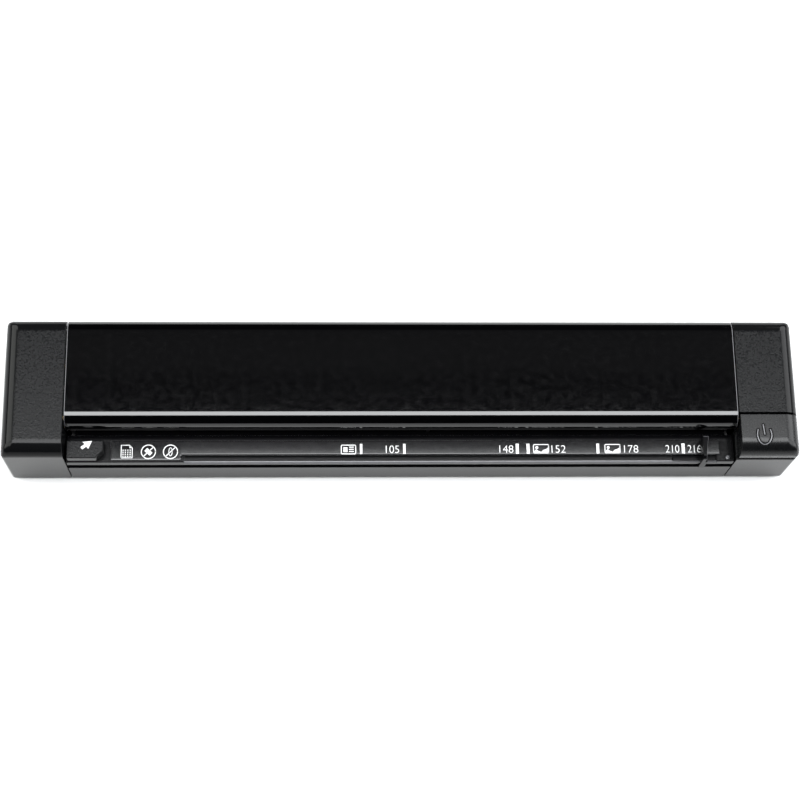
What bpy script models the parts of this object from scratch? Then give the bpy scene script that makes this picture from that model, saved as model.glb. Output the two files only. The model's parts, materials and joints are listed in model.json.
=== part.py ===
"""A portable document scanner, modelled piece by piece at its real size, in metres.

+X runs along the long side, -Y is the front where paper goes in, and +Z is up.
The origin lies under the middle of the whole object, on the surface that it stands on.
"""
import math

import bmesh
import bpy
from mathutils import Matrix, Vector

# Overall sizes
WIDTH = 0.2950
BODY_DEPTH = 0.0528
UPPER_HEIGHT = 0.0130
FOOT_HEIGHT = 0.0010
HOOK_PROUD = 0.0006
CAP_WIDTH = 0.0226
EDGE_ROUND_SHARE = 0.446
SMALL_ROUND = 0.0014
FRONT_ROUND_SHARE = 0.65
SEAM = 0.0004
SEAT = 0.0003
OVERRUN = 0.0010
MERGE = 0.00001

# Walls
CAP_WALL = 0.0020
CASE_WALL = 0.0018
COVER_WALL = 0.0018

# Heights and depths of the paper path
SHELF_THICK = 0.0018
CASE_FRONT_DROP = 0.0066
LIP_SHARE = 0.408
COVER_FLAT_SHARE = 0.303
SHELF_SHARE = 0.2008
COVER_REAR_SHARE = 0.323
BED_DROP = 0.0003
BED_THICK = 0.0014
PAPER_GAP = 0.0013
UPPER_THICK = 0.0012
UPPER_FRONT_SHARE = 0.2538
UPPER_REAR_SETBACK = 0.0042
CASE_REAR_DROP = 0.0007

# Feed shelf, groove and marking panel
SKIRT_SETBACK = 0.0003
SKIRT_WALL = 0.0018
BEAM_DEPTH = 0.0045
BEAM_DROP = 0.0040
GROOVE_DEPTH = 0.0017
GROOVE_BACK = 0.0029
GROOVE_LEFT_GAP = 0.0432
GROOVE_RIGHT_GAP = 0.0063
SHELF_EDGE_ROUND = 0.0005
CATCH_DROP = 0.0036
CATCH_HEIGHT = 0.0012
CATCH_DEPTH = 0.0007
PANEL_LEFT_GAP = 0.0163
PANEL_RIGHT_GAP = 0.0052
PANEL_THICK = 0.0006
PANEL_FRONT = 0.0033
PANEL_WIDE_FRONT = 0.0012
PANEL_STEP_GAP = 0.0009
PANEL_CORNER = 0.0008
PANEL_BACK = 0.0084
PANEL_CLEAR = 0.00015

# Paper stop at the left
STOP_WIDTH = 0.0139
STOP_HEIGHT = 0.0050
STOP_DEPTH = 0.0067
STOP_FRONT_GAP = 0.0007
STOP_CORNER = 0.0028
STOP_ROUND = 0.0006

# Sliding paper guide
GUIDE_END_GAP = 0.0126
GUIDE_THICK = 0.0022
GUIDE_THIN = 0.0012
GUIDE_TRIM_RISE = 0.0022
GUIDE_HEIGHT = 0.0070
GUIDE_BACK = 0.0085
GUIDE_NOSE_ROUND = 0.0016
GUIDE_CLEAR = 0.0003
HOOK_DROP = 0.0056
CATCH_CLEAR = 0.0003
RUNNER_LEFT = 0.0103
RUNNER_RIGHT = 0.0036
RUNNER_HEIGHT = 0.0010
RUNNER_SETBACK = 0.0008
RUNNER_INSET = 0.0001

# Power button
BUTTON_DEPTH = 0.0148
BUTTON_SHARE = 0.60
BUTTON_GAP = 0.0008
BUTTON_TRAVEL = 0.0006
BUTTON_UNDER_GAP = 0.0012
BUTTON_WALL = 0.0016
STEM_X = 0.0108
STEM_Y = 0.0085
STEM_RADIUS = 0.0016
STEM_HOLE_RADIUS = 0.0021
LEG_SPREAD = 0.0062
LEG_WIDTH = 0.0030
LEG_THICK = 0.0012
LEG_BARB = 0.0007
LEG_BARB_HEIGHT = 0.0010
LEG_SLOT_CLEAR = 0.0004
SPRING_RADIUS = 0.0026
SPRING_WIRE = 0.00025
SPRING_TURNS = 4
SPRING_STEPS = 8

# Rollers
FEED_SHARE = 0.3447
ROLLER_RADIUS = 0.0040
SHAFT_RADIUS = 0.0020
RUNNING_CLEARANCE = 0.0001
RUBBER_LENGTH = 0.0220
SLEEVE_RADIUS = 0.0026
RUBBER_SHARES = (0.66, 0.225, -0.225, -0.66)
PINCH_SHARE = 0.2857
PINCH_SHAFT_RADIUS = 0.0010
PINCH_NIP = 0.0003
PINCH_LENGTH = 0.0120
WINDOW_CLEAR = 0.0006
WINDOW_NARROW = 0.0003
RELIEF_DEPTH = 0.0006

# Side frames and bushes
FRAME_THICK = 0.0015
FRAME_INSET = 0.0010
BUSH_RADIUS = 0.0032
BUSH_GAP = 0.0002
BUSH_FLANGE_RADIUS = 0.0042
BUSH_FLANGE_THICK = 0.0008
SHAFT_OVERHANG = 0.0004
PINCH_POST_THICK = 0.0018
PINCH_POST_HALF = 0.0030
PINCH_POST_TOP = 0.0012
LEAF_THICK = 0.0004
LEAF_WIDTH = 0.0066

# Image sensor bar and backing bar
SENSOR_END_GAP = 0.0090
SENSOR_ROLLER_GAP = 0.0008
SENSOR_HEIGHT = 0.0104
CHANNEL_INSET = 0.0017
CHANNEL_FLOOR = 0.0012
CHANNEL_END = 0.0030
LENS_DEPTH = 0.0020
GLASS_INSET = 0.0012
GLASS_END_INSET = 0.0045
BACKING_END_INSET = 0.0010
BACKING_LIFT = 0.0002
CRADLE_SPRING_RADIUS = 0.0022
CRADLE_SPRING_WIRE = 0.0003
CRADLE_SPRING_TURNS = 3
CRADLE_SPRING_SHARES = (-0.48, 0.48)

# Gears
MODULE_SHARE = 0.011364
PRESSURE_ANGLE = math.radians(25)
TIP_SHARE = 1.0
DEDENDUM_SHARE = 1.25
BACKLASH = 0.00020
ROLLER_TEETH = 18
IDLER_TEETH = 16
SMALL_TEETH = 12
LARGE_TEETH = 20
PINION_TEETH = 10
GEAR_WIDTH = 0.0028
GEAR_GAP = 0.0006
GEAR_FRAME_GAP = 0.0034
PIN_RADIUS = 0.0010
COMPOUND_ANGLE = math.radians(-50.05)
IDLER_ANGLE = math.radians(-11.37)
GEAR_FLOOR_GAP = 0.0015
MOTOR_ANGLE = math.radians(185)

# Motor and its bracket
MOTOR_RADIUS = 0.0068
MOTOR_LENGTH = 0.0088
BRACKET_THICK = 0.0010
BRACKET_FRONT_MARGIN = 0.0043
BRACKET_BACK_GAP = 0.0025
BRACKET_FLOOR_GAP = 0.0012
BRACKET_RISE = 0.0088
BRACKET_LEG_INSET = 0.0022
BRACKET_LEG_LOW = 0.0036
BRACKET_LEG_HIGH = 0.0043
BRACKET_LEG_RADIUS = 0.0014
MOTOR_BOSS_RADIUS = 0.0022
MOTOR_SHAFT_RADIUS = 0.0008
SHAFT_SUNK = 0.0020
TERMINAL_INSET = 0.0010
TERMINAL_LENGTH = 0.0050
TERMINAL_HALF = 0.0015

# Circuit board and sockets
BOARD_DROP = 0.0058
BOARD_THICK = 0.0012
BOARD_WIDTH = 0.0160
BOARD_END_GAP = 0.0024
BOARD_GAP = 0.0032
POST_INSET = 0.0024
CHIP_SHARES = ((-0.114, 0.159), (0.091, 0.114), (0.25, 0.091))
USB_BACK_GAP = 0.0004
SWITCH_SIDE = 0.0060
SWITCH_HEIGHT = 0.0034
PLUNGER_RADIUS = 0.0013
PLUNGER_HEIGHT = 0.0016
PLUNGER_SUNK = 0.0007
USB_WIDTH = 0.0082
USB_HEIGHT = 0.0031
USB_LENGTH = 0.0072
USB_WALL = 0.0004
CHIP_HEIGHT = 0.0012
POST_RADIUS = 0.0020
PEG_RADIUS = 0.0008
PEG_ROOT = 0.0008

# Screws and feet
SCREW_RADIUS = 0.0008
SCREW_HEAD_RADIUS = 0.0017
SCREW_HEAD_HEIGHT = 0.0007
SCREW_LENGTH = 0.0040
SCREW_CLEAR = 0.0002
DRIVE_WIDTH = 0.0005
DRIVE_SHARE = 0.5
RECESS_FLOOR = 0.0008
CASE_SCREW_END_GAP = 0.0265
CASE_SCREW_FRONT = 0.0131
CASE_SCREW_BACK = 0.0072
TONGUE_ROOT = 0.0040
TONGUE_REACH = 0.0052
TONGUE_WIDTH = 0.0080
TONGUE_THICK = 0.0022
TONGUE_FRONT_INSET = 0.0161
TONGUE_BACK_INSET = 0.0147
CAP_SCREW_REACH = 0.0030
COVER_BOSS_RADIUS = 0.0020
COVER_BOSS_END_GAP = 0.0080
COVER_BOSS_INSET = 0.0070
OPENING_FRONT_INSET = 0.0116
OPENING_BACK_INSET = 0.0037
OPENING_TOP_INSET = 0.0035
FOOT_RADIUS = 0.0036
FOOT_RECESS = 0.0006
FOOT_END_GAP = 0.0125
FOOT_INSET = 0.0080

# Paper sensor
FLAG_SHARE = 0.08
FLAG_INSET_SHARE = 0.2424
FLAG_PIVOT_DROP = 0.0066
FLAG_TIP_RISE = 0.0006
FLAG_TIP_BACK = 0.0014
FLAG_TAIL = 0.0046
FLAG_THICK = 0.0012
FLAG_WIDTH = 0.0016
FLAG_AXLE_RADIUS = 0.0009
FLAG_AXLE_LENGTH = 0.0084
EAR_THICK = 0.0014
EAR_OFFSET = 0.0034
EAR_HALF = 0.0016
FLAG_SLOT_FRONT = 0.0008
FLAG_SLOT_LENGTH = 0.0052
DETECTOR_WALL = 0.0012
DETECTOR_GAP = 0.0028
DETECTOR_DEPTH = 0.0050
DETECTOR_OVERLAP = 0.0016
DETECTOR_SHIFT = 0.0010

# Flat cables
CABLE_THICK = 0.0003
RIBBON_WIDTH = 0.0080
RIBBON_SHIFT = 0.0010
RIBBON_OVERLAP = 0.0150
MOTOR_CABLE_WIDTH = 0.0040
MOTOR_CABLE_SHIFT = 0.0066
MOTOR_CABLE_LIFT = 0.0007
SOCKET_SHIFT = 0.0051
SOCKET_HEIGHT = 0.0028
SOCKET_SIZE = 0.0026

# Light pipe
LIGHT_END_GAP = 0.0023
LIGHT_INSET = 0.0018
LIGHT_RADIUS = 0.0010
LIGHT_RISE = 0.0005

# Numbers of facets
FLANK_STEPS = 2
CORNER_STEPS = 3
ROUND_STEPS = 5
ROUND_SIDES = 20
FINE_SIDES = 20
SMALL_SIDES = 12

# Places that follow from the sizes above
FRONT = HOOK_PROUD - (BODY_DEPTH + HOOK_PROUD) / 2
BACK = FRONT + BODY_DEPTH
CAP_FACE = WIDTH / 2 - CAP_WIDTH
MID_END = CAP_FACE - SEAM
BASE = FOOT_HEIGHT
MODULE = BODY_DEPTH * MODULE_SHARE
IDLER_REACH = MODULE * (ROLLER_TEETH + IDLER_TEETH) / 2
COMPOUND_REACH = MODULE * (ROLLER_TEETH + SMALL_TEETH) / 2
MOTOR_REACH = MODULE * (LARGE_TEETH + PINION_TEETH) / 2
LARGE_GEAR_RADIUS = MODULE * (LARGE_TEETH / 2 + TIP_SHARE)
AXLE_Z = BASE + CAP_WALL + GEAR_FLOOR_GAP + LARGE_GEAR_RADIUS - COMPOUND_REACH * math.sin(COMPOUND_ANGLE)
SHELF_TOP = AXLE_Z + ROLLER_RADIUS
HEIGHT = SHELF_TOP + UPPER_HEIGHT
EDGE_ROUND = UPPER_HEIGHT * EDGE_ROUND_SHARE
LIP_BOTTOM = SHELF_TOP + UPPER_HEIGHT * LIP_SHARE
FRONT_ROUND = (HEIGHT - LIP_BOTTOM) * FRONT_ROUND_SHARE
COVER_REAR_BOTTOM = SHELF_TOP + UPPER_HEIGHT * COVER_REAR_SHARE
BUTTON_BOTTOM = HEIGHT - UPPER_HEIGHT * BUTTON_SHARE
PINCH_RADIUS = (UPPER_HEIGHT - COVER_WALL) * PINCH_SHARE
CASE_FRONT_TOP = SHELF_TOP - CASE_FRONT_DROP
CASE_REAR_TOP = SHELF_TOP - CASE_REAR_DROP
CATCH_TOP = SHELF_TOP - CATCH_DROP
HOOK_BOTTOM = SHELF_TOP - HOOK_DROP
BOARD_TOP = SHELF_TOP - BOARD_DROP
SOCKET_BOTTOM = BOARD_TOP - BOARD_THICK - SOCKET_HEIGHT
FLOOR_TOP = BASE + CASE_WALL
COVER_EDGE_Y = FRONT + BODY_DEPTH * COVER_FLAT_SHARE
LIP_Y = COVER_EDGE_Y - FRONT_ROUND
SKIRT_Y = FRONT + SKIRT_SETBACK
SHELF_BACK_Y = FRONT + BODY_DEPTH * SHELF_SHARE
SKIRT_BOTTOM = CASE_FRONT_TOP + SEAT
BED_FRONT_Y = SHELF_BACK_Y + SEAT
BED_TOP = SHELF_TOP - BED_DROP
BED_BOTTOM = BED_TOP - BED_THICK
BED_REAR_Y = BACK - CASE_WALL - SEAT
UPPER_BOTTOM = BED_TOP + PAPER_GAP
UPPER_TOP = UPPER_BOTTOM + UPPER_THICK
COVER_UNDER = HEIGHT - COVER_WALL
FRAME_X = MID_END - FRAME_INSET
PLATE_END = FRAME_X - FRAME_THICK - SEAT
COVER_BOSS_X = MID_END - COVER_BOSS_END_GAP
CASE_SCREW_X = MID_END - CASE_SCREW_END_GAP
FOOT_X = MID_END - FOOT_END_GAP
GUIDE_FACE_X = MID_END - GUIDE_END_GAP
GROOVE_LEFT = GROOVE_LEFT_GAP - MID_END
GROOVE_RIGHT = MID_END - GROOVE_RIGHT_GAP
PANEL_LEFT = PANEL_LEFT_GAP - MID_END
PANEL_RIGHT = MID_END - PANEL_RIGHT_GAP
STOP_RIGHT = STOP_WIDTH - MID_END
LIGHT_X = MID_END - LIGHT_END_GAP
FLAG_X = MID_END * FLAG_SHARE
SENSOR_END = MID_END - SENSOR_END_GAP
GLASS_END = SENSOR_END - GLASS_END_INSET
BACKING_END = GLASS_END - BACKING_END_INSET
RUBBER_PLACES = [MID_END * share for share in RUBBER_SHARES]
CRADLE_SPRING_PLACES = [MID_END * share for share in CRADLE_SPRING_SHARES]
FEED_Y = FRONT + BODY_DEPTH * FEED_SHARE
EXIT_Y = FEED_Y + 2 * IDLER_REACH * math.cos(IDLER_ANGLE)
PINCH_Z = SHELF_TOP + PINCH_NIP + PINCH_RADIUS
SENSOR_TOP = BED_BOTTOM - SEAT
MID_Y = (FRONT + BACK) / 2
MID_PATH_Y = (FEED_Y + EXIT_Y) / 2
SENSOR_DEPTH = EXIT_Y - FEED_Y - 2 * (ROLLER_RADIUS + SENSOR_ROLLER_GAP)
CHANNEL_DEPTH = SENSOR_DEPTH - 2 * CHANNEL_INSET
GLASS_DEPTH = SENSOR_DEPTH - 2 * GLASS_INSET
BACKING_DEPTH = GLASS_DEPTH
BOARD_LENGTH = BODY_DEPTH - 2 * (CAP_WALL + BOARD_END_GAP)
BUTTON_BACK = FRONT + BUTTON_DEPTH
STEM_AT_X = CAP_FACE + STEM_X
STEM_AT_Y = FRONT + STEM_Y
BOARD_MID_X = CAP_FACE + BOARD_GAP + BOARD_WIDTH / 2
SOCKET_X = BOARD_MID_X - SOCKET_SHIFT
TONGUE_PLACES = (FRONT + TONGUE_FRONT_INSET, BACK - TONGUE_BACK_INSET)
CAP_SCREW_Y = TONGUE_PLACES[1]
MOTOR_CABLE_Z = FLOOR_TOP + MOTOR_CABLE_LIFT
RIBBON_Y = MID_PATH_Y + RIBBON_SHIFT
MOTOR_CABLE_Y = RIBBON_Y - MOTOR_CABLE_SHIFT
RIBBON_Z = SENSOR_TOP - SENSOR_HEIGHT - SEAT - CABLE_THICK / 2
FLAG_Y = FRONT + BODY_DEPTH * FLAG_INSET_SHARE
FLAG_Z = BED_TOP - FLAG_PIVOT_DROP
IDLER_AT = (MID_PATH_Y, AXLE_Z + IDLER_REACH * math.sin(IDLER_ANGLE))
COMPOUND_AT = (EXIT_Y + COMPOUND_REACH * math.cos(COMPOUND_ANGLE),
               AXLE_Z + COMPOUND_REACH * math.sin(COMPOUND_ANGLE))
MOTOR_AT = (COMPOUND_AT[0] + MOTOR_REACH * math.cos(MOTOR_ANGLE),
            COMPOUND_AT[1] + MOTOR_REACH * math.sin(MOTOR_ANGLE))
BRACKET_LOW = (MID_PATH_Y - BRACKET_FRONT_MARGIN, BASE + CAP_WALL + BRACKET_FLOOR_GAP)
BRACKET_HIGH = (BACK - CAP_WALL - BRACKET_BACK_GAP, AXLE_Z + BRACKET_RISE)
BRACKET_LEGS = ((BRACKET_LOW[0] + BRACKET_LEG_INSET, BRACKET_LOW[1] + BRACKET_LEG_LOW),
                (BRACKET_HIGH[0] - BRACKET_LEG_INSET, BRACKET_HIGH[1] - BRACKET_LEG_HIGH),
                (MID_PATH_Y, BRACKET_HIGH[1] - BRACKET_LEG_INSET))

parts = bpy.data.collections.new("document_scanner")
cutters = bpy.data.collections.new("cutters")
materials = {}


def clear_scene():
    for thing in list(bpy.data.objects):
        bpy.data.objects.remove(thing)
    bpy.context.scene.collection.children.link(parts)
    bpy.context.scene.collection.children.link(cutters)


def material(name, colour, roughness, metallic=0.0, alpha=1.0):
    made = bpy.data.materials.new(name)
    made.use_nodes = True
    shader = made.node_tree.nodes["Principled BSDF"]
    shader.inputs["Base Color"].default_value = (*colour, 1.0)
    shader.inputs["Roughness"].default_value = roughness
    shader.inputs["Metallic"].default_value = metallic
    shader.inputs["Alpha"].default_value = alpha
    materials[name] = made


def make_materials():
    material("textured_black", (0.022, 0.023, 0.025), 0.55)
    material("gloss_black", (0.006, 0.006, 0.008), 0.08)
    material("satin_black", (0.018, 0.019, 0.021), 0.35)
    material("inner_plastic", (0.035, 0.036, 0.038), 0.50)
    material("white_plastic", (0.80, 0.80, 0.78), 0.45)
    material("gear_plastic", (0.72, 0.70, 0.64), 0.40)
    material("steel", (0.60, 0.61, 0.62), 0.30, 1.0)
    material("black_steel", (0.015, 0.015, 0.016), 0.55)
    material("brass", (0.75, 0.58, 0.28), 0.32, 1.0)
    material("rubber", (0.030, 0.030, 0.032), 0.80)
    material("roller_rubber", (0.12, 0.12, 0.125), 0.75)
    material("board_green", (0.02, 0.16, 0.06), 0.45)
    material("chip_black", (0.015, 0.015, 0.016), 0.50)
    material("glass", (0.70, 0.82, 0.80), 0.03, 0.0, 0.35)
    material("cable_white", (0.78, 0.78, 0.76), 0.55)
    material("light_lens", (0.55, 0.60, 0.62), 0.15, 0.0, 0.6)


def from_mesh(name, mesh, slot=None):
    thing = bpy.data.objects.new(name, mesh)
    if slot:
        mesh.materials.append(materials[slot])
        parts.objects.link(thing)
    else:
        cutters.objects.link(thing)
        thing.hide_render = True
        thing.display_type = "WIRE"
    return thing


def box(name, low, high, slot=None):
    """A box between two corners, with its origin in its middle."""
    low, high = Vector(map(min, low, high)), Vector(map(max, low, high))
    mesh = bpy.data.meshes.new(name)
    cage = bmesh.new()
    bmesh.ops.create_cube(cage, size=1.0, matrix=Matrix.Diagonal((*(high - low), 1.0)))
    cage.to_mesh(mesh)
    cage.free()
    thing = from_mesh(name, mesh, slot)
    thing.location = (low + high) / 2
    return thing


def rod(name, start, end, radius, sides=ROUND_SIDES, slot=None, end_radius=None):
    """A round bar or cone between two points, with its origin in its middle."""
    start, end = Vector(start), Vector(end)
    mesh = bpy.data.meshes.new(name)
    cage = bmesh.new()
    bmesh.ops.create_cone(cage, cap_ends=True, segments=sides, radius1=radius,
                          radius2=radius if end_radius is None else end_radius,
                          depth=(end - start).length)
    cage.to_mesh(mesh)
    cage.free()
    mesh.shade_smooth()
    mesh.set_sharp_from_angle(angle=math.radians(40))
    thing = from_mesh(name, mesh, slot)
    thing.location = (start + end) / 2
    thing.rotation_mode = "QUATERNION"
    thing.rotation_quaternion = (end - start).to_track_quat("Z", "Y")
    return thing


def arc(centre, radius, start, end, steps=ROUND_STEPS):
    """Points on a circle from one angle to another, in degrees."""
    angles = [math.radians(start + (end - start) * step / steps) for step in range(steps + 1)]
    return [(centre[0] + radius * math.cos(a), centre[1] + radius * math.sin(a)) for a in angles]


def circle(centre, radius, sides=FINE_SIDES):
    """Points evenly round a circle."""
    turns = [2 * math.pi * step / sides for step in range(sides)]
    return [(centre[0] + radius * math.cos(a), centre[1] + radius * math.sin(a)) for a in turns]


TURNED = {
    "X": Matrix(((0, 0, 1), (1, 0, 0), (0, 1, 0))),
    "-Y": Matrix(((1, 0, 0), (0, 0, -1), (0, 1, 0))),
    "Z": Matrix.Identity(3),
}


def outline(name, rings, axis, start, end, slot=None):
    """A flat outline with its holes, drawn across an axis and made thick from start to end."""
    curve = bpy.data.curves.new(name, "CURVE")
    curve.dimensions = "2D"
    curve.fill_mode = "BOTH"
    curve.extrude = (end - start) / 2
    for ring in rings:
        spline = curve.splines.new("POLY")
        spline.points.add(len(ring) - 1)
        for point, (across, up) in zip(spline.points, ring):
            point.co = (across, up, 0, 1)
        spline.use_cyclic_u = True
    drawn = bpy.data.objects.new(name, curve)
    bpy.context.scene.collection.objects.link(drawn)
    turn = TURNED[axis]
    drawn.matrix_world = Matrix.Translation(turn.col[2] * (start + end) / 2) @ turn.to_4x4()
    return as_mesh(drawn, slot)


def as_mesh(drawn, slot):
    """The closed mesh of a curve, in the curve's place."""
    bpy.context.view_layer.update()
    mesh = bpy.data.meshes.new_from_object(drawn.evaluated_get(bpy.context.evaluated_depsgraph_get()))
    cage = bmesh.new()
    cage.from_mesh(mesh)
    bmesh.ops.remove_doubles(cage, verts=cage.verts, dist=MERGE)
    bmesh.ops.recalc_face_normals(cage, faces=cage.faces)
    cage.to_mesh(mesh)
    cage.free()
    mesh.materials.clear()
    name, place = drawn.name, drawn.matrix_world.copy()
    bpy.data.objects.remove(drawn)
    thing = from_mesh(name, mesh, slot)
    thing.matrix_world = place
    return thing


def wire(name, points, radius, slot):
    """A thin round wire through the points."""
    curve = bpy.data.curves.new(name, "CURVE")
    curve.dimensions = "3D"
    curve.bevel_depth = radius
    curve.bevel_resolution = 1
    curve.use_fill_caps = True
    spline = curve.splines.new("POLY")
    spline.points.add(len(points) - 1)
    for point, place in zip(spline.points, points):
        point.co = (*place, 1)
    drawn = bpy.data.objects.new(name, curve)
    bpy.context.scene.collection.objects.link(drawn)
    return as_mesh(drawn, slot)


def coil_points(centre, bottom, top, radius, turns, steps=SPRING_STEPS):
    count = turns * steps
    turn = 2 * math.pi / steps
    return [(centre[0] + radius * math.cos(turn * i), centre[1] + radius * math.sin(turn * i),
             bottom + (top - bottom) * i / count) for i in range(count + 1)]


def boolean(thing, other, operation):
    change = thing.modifiers.new(other.name, "BOOLEAN")
    change.operation = operation
    change.object = other
    change.solver = "EXACT"


def cut(thing, *others):
    for other in others:
        boolean(thing, other, "DIFFERENCE")
    return thing


def join(thing, *others):
    for other in others:
        boolean(thing, other, "UNION")
    return thing


def turned(name, profile, place, sides, slot=None):
    """A profile of (radius, along) pairs, outer side first from high to low, turned about X."""
    mesh = bpy.data.meshes.new(name)
    cage = bmesh.new()
    verts = [cage.verts.new((radius, 0, along)) for radius, along in profile]
    for near, far in zip(verts, verts[1:]):
        cage.edges.new((near, far))
    if profile[0][0] > 0:
        cage.edges.new((verts[-1], verts[0]))
    cage.to_mesh(mesh)
    cage.free()
    thing = from_mesh(name, mesh, slot)
    screw_turn = thing.modifiers.new("turn", "SCREW")
    screw_turn.axis = "Z"
    screw_turn.angle = 2 * math.pi
    screw_turn.steps = sides
    screw_turn.render_steps = sides
    screw_turn.use_merge_vertices = True
    screw_turn.merge_threshold = MERGE
    screw_turn.use_smooth_shade = True
    thing.matrix_world = Matrix.Translation(place) @ TURNED["X"].to_4x4()
    return thing


def collar_profile(places, half, large, small, bore):
    """A sleeve with raised collars; places are the collars' middles from high to low."""
    ends = (places[0] + half, places[-1] - half)
    profile = []
    for place in places:
        if profile:
            profile.append((small, place + half))
        profile += [(large, place + half), (large, place - half)]
        if place != places[-1]:
            profile.append((small, place - half))
    if bore:
        return profile + [(bore, ends[1]), (bore, ends[0])]
    return profile


def set_origin(thing, place):
    """Moves an object's origin, and leaves its shape where it is."""
    bpy.context.view_layer.update()
    shift = thing.matrix_world.inverted() @ Vector(place)
    thing.data.transform(Matrix.Translation(-shift))
    thing.matrix_world = thing.matrix_world @ Matrix.Translation(shift)
    return thing


def rounded_box(name, low, high, width_at, widest, slot=None):
    """A box whose edges are rounded by the width that width_at gives for each edge's middle."""
    thing = box(name, low, high, slot)
    cage = bmesh.new()
    cage.from_mesh(thing.data)
    weights = cage.edges.layers.float.new("bevel_weight_edge")
    for edge in cage.edges:
        middle = (edge.verts[0].co + edge.verts[1].co) / 2
        edge[weights] = width_at(middle) / widest
    cage.to_mesh(thing.data)
    cage.free()
    bevel = thing.modifiers.new("edges", "BEVEL")
    bevel.width = widest
    bevel.limit_method = "WEIGHT"
    bevel.segments = ROUND_STEPS
    thing.modifiers.new("flat_faces", "TRIANGULATE")
    return thing


def cap_body(name, side, inset, slot=None):
    """The outer form of an end cap, or the form of its hollow when inset is the wall."""
    large = EDGE_ROUND - inset
    small = max(SMALL_ROUND - inset, 0)

    def width_at(middle):
        if middle.x * side < -MERGE:
            return 0
        if abs(middle.z) < MERGE:
            return small
        return large if middle.z > 0 else small

    low = (side * (CAP_FACE + inset), FRONT + inset, BASE + inset)
    high = (side * (WIDTH / 2 - inset), BACK - inset, HEIGHT - inset)
    return rounded_box(name, low, high, width_at, large, slot)


def cap_opening(side):
    """The way from the middle of the body into an end cap, for shafts and cables."""
    low = (side * (CAP_FACE - OVERRUN), FRONT + OPENING_FRONT_INSET, BASE + CAP_WALL)
    high = (side * (CAP_FACE + CAP_WALL + OVERRUN), BACK - OPENING_BACK_INSET, HEIGHT - OPENING_TOP_INSET)
    return box("cap_opening", low, high)


def screw_hole(x, y, wall):
    """A clearance hole with a recess for the head, from below."""
    through = rod("screw_way", (x, y, BASE - OVERRUN), (x, y, BASE + wall + OVERRUN),
                  SCREW_RADIUS + SCREW_CLEAR, SMALL_SIDES)
    recess = rod("screw_recess", (x, y, BASE - OVERRUN), (x, y, BASE + wall - RECESS_FLOOR),
                 SCREW_HEAD_RADIUS + SCREW_CLEAR, SMALL_SIDES)
    return through, recess


def machine_screw(name, x, y, head_z):
    """A pan head screw pointing up, whose head's inner face is at head_z."""
    thing = turned(name, [(0, SCREW_LENGTH), (SCREW_RADIUS, SCREW_LENGTH), (SCREW_RADIUS, 0),
                          (SCREW_HEAD_RADIUS, 0), (SCREW_HEAD_RADIUS, -SCREW_HEAD_HEIGHT),
                          (0, -SCREW_HEAD_HEIGHT)], (x, y, head_z), SMALL_SIDES, "steel")
    thing.matrix_world = Matrix.Translation((x, y, head_z))
    drive_z = head_z - SCREW_HEAD_HEIGHT * DRIVE_SHARE
    for long_way, short_way in ((SCREW_RADIUS, DRIVE_WIDTH / 2), (DRIVE_WIDTH / 2, SCREW_RADIUS)):
        cut(thing, box("drive", (x - long_way, y - short_way, drive_z),
                       (x + long_way, y + short_way, head_z - SCREW_HEAD_HEIGHT * 2)))
    return thing


def button_space():
    """The corner of the right cap that the power button takes, with its gaps."""
    return box("button_space", (CAP_FACE - OVERRUN, FRONT - OVERRUN, BUTTON_BOTTOM - BUTTON_UNDER_GAP),
               (WIDTH / 2 + OVERRUN, BUTTON_BACK + BUTTON_GAP, HEIGHT + OVERRUN))


def end_cap(name, side):
    cap = cap_body(name, side, 0, "textured_black")
    hollow = cap_body("cap_hollow", side, CAP_WALL)
    if side > 0:
        roof = box("button_roof", (CAP_FACE, FRONT, BUTTON_BOTTOM - BUTTON_UNDER_GAP - CAP_WALL),
                   (WIDTH / 2, BUTTON_BACK + BUTTON_GAP + CAP_WALL, HEIGHT))
        cut(hollow, roof)
    cut(cap, hollow, cap_opening(side))
    return cut(cap, *screw_hole(side * (MID_END + CAP_SCREW_REACH), CAP_SCREW_Y, CAP_WALL))


def right_cap_details(cap):
    """The button's corner, the holes for its stem and legs, the board's posts and the USB hole."""
    roof_top = BUTTON_BOTTOM - BUTTON_UNDER_GAP
    below, above = roof_top - CAP_WALL - OVERRUN, roof_top + OVERRUN
    cut(cap, button_space())
    cut(cap, rod("stem_hole", (STEM_AT_X, STEM_AT_Y, below), (STEM_AT_X, STEM_AT_Y, above),
                 STEM_HOLE_RADIUS, ROUND_SIDES))
    for way in (-1, 1):
        x = STEM_AT_X + way * LEG_SPREAD
        reach = LEG_THICK / 2 + LEG_SLOT_CLEAR
        cut(cap, box("leg_slot", (x - reach, STEM_AT_Y - LEG_WIDTH / 2 - LEG_SLOT_CLEAR, below),
                     (x + reach, STEM_AT_Y + LEG_WIDTH / 2 + LEG_SLOT_CLEAR, above)))
    for x, y in board_posts():
        join(cap, rod("board_post", (x, y, BASE + CAP_WALL / 2), (x, y, BOARD_TOP - BOARD_THICK - SEAT),
                      POST_RADIUS, SMALL_SIDES))
        join(cap, rod("board_peg", (x, y, BOARD_TOP - BOARD_THICK - PEG_ROOT), (x, y, BOARD_TOP + SEAT),
                      PEG_RADIUS, SMALL_SIDES))
    half = USB_WIDTH / 2 + SEAT
    cut(cap, box("usb_hole", (BOARD_MID_X - half, BACK - CAP_WALL - OVERRUN, BOARD_TOP),
                 (BOARD_MID_X + half, BACK + OVERRUN, BOARD_TOP + USB_HEIGHT + SEAT * 2)))


def board_posts():
    across, along = BOARD_WIDTH / 2 - POST_INSET, BOARD_LENGTH / 2 - POST_INSET
    return [(BOARD_MID_X + i * across, MID_Y + j * along) for i in (-1, 1) for j in (-1, 1)]


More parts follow.
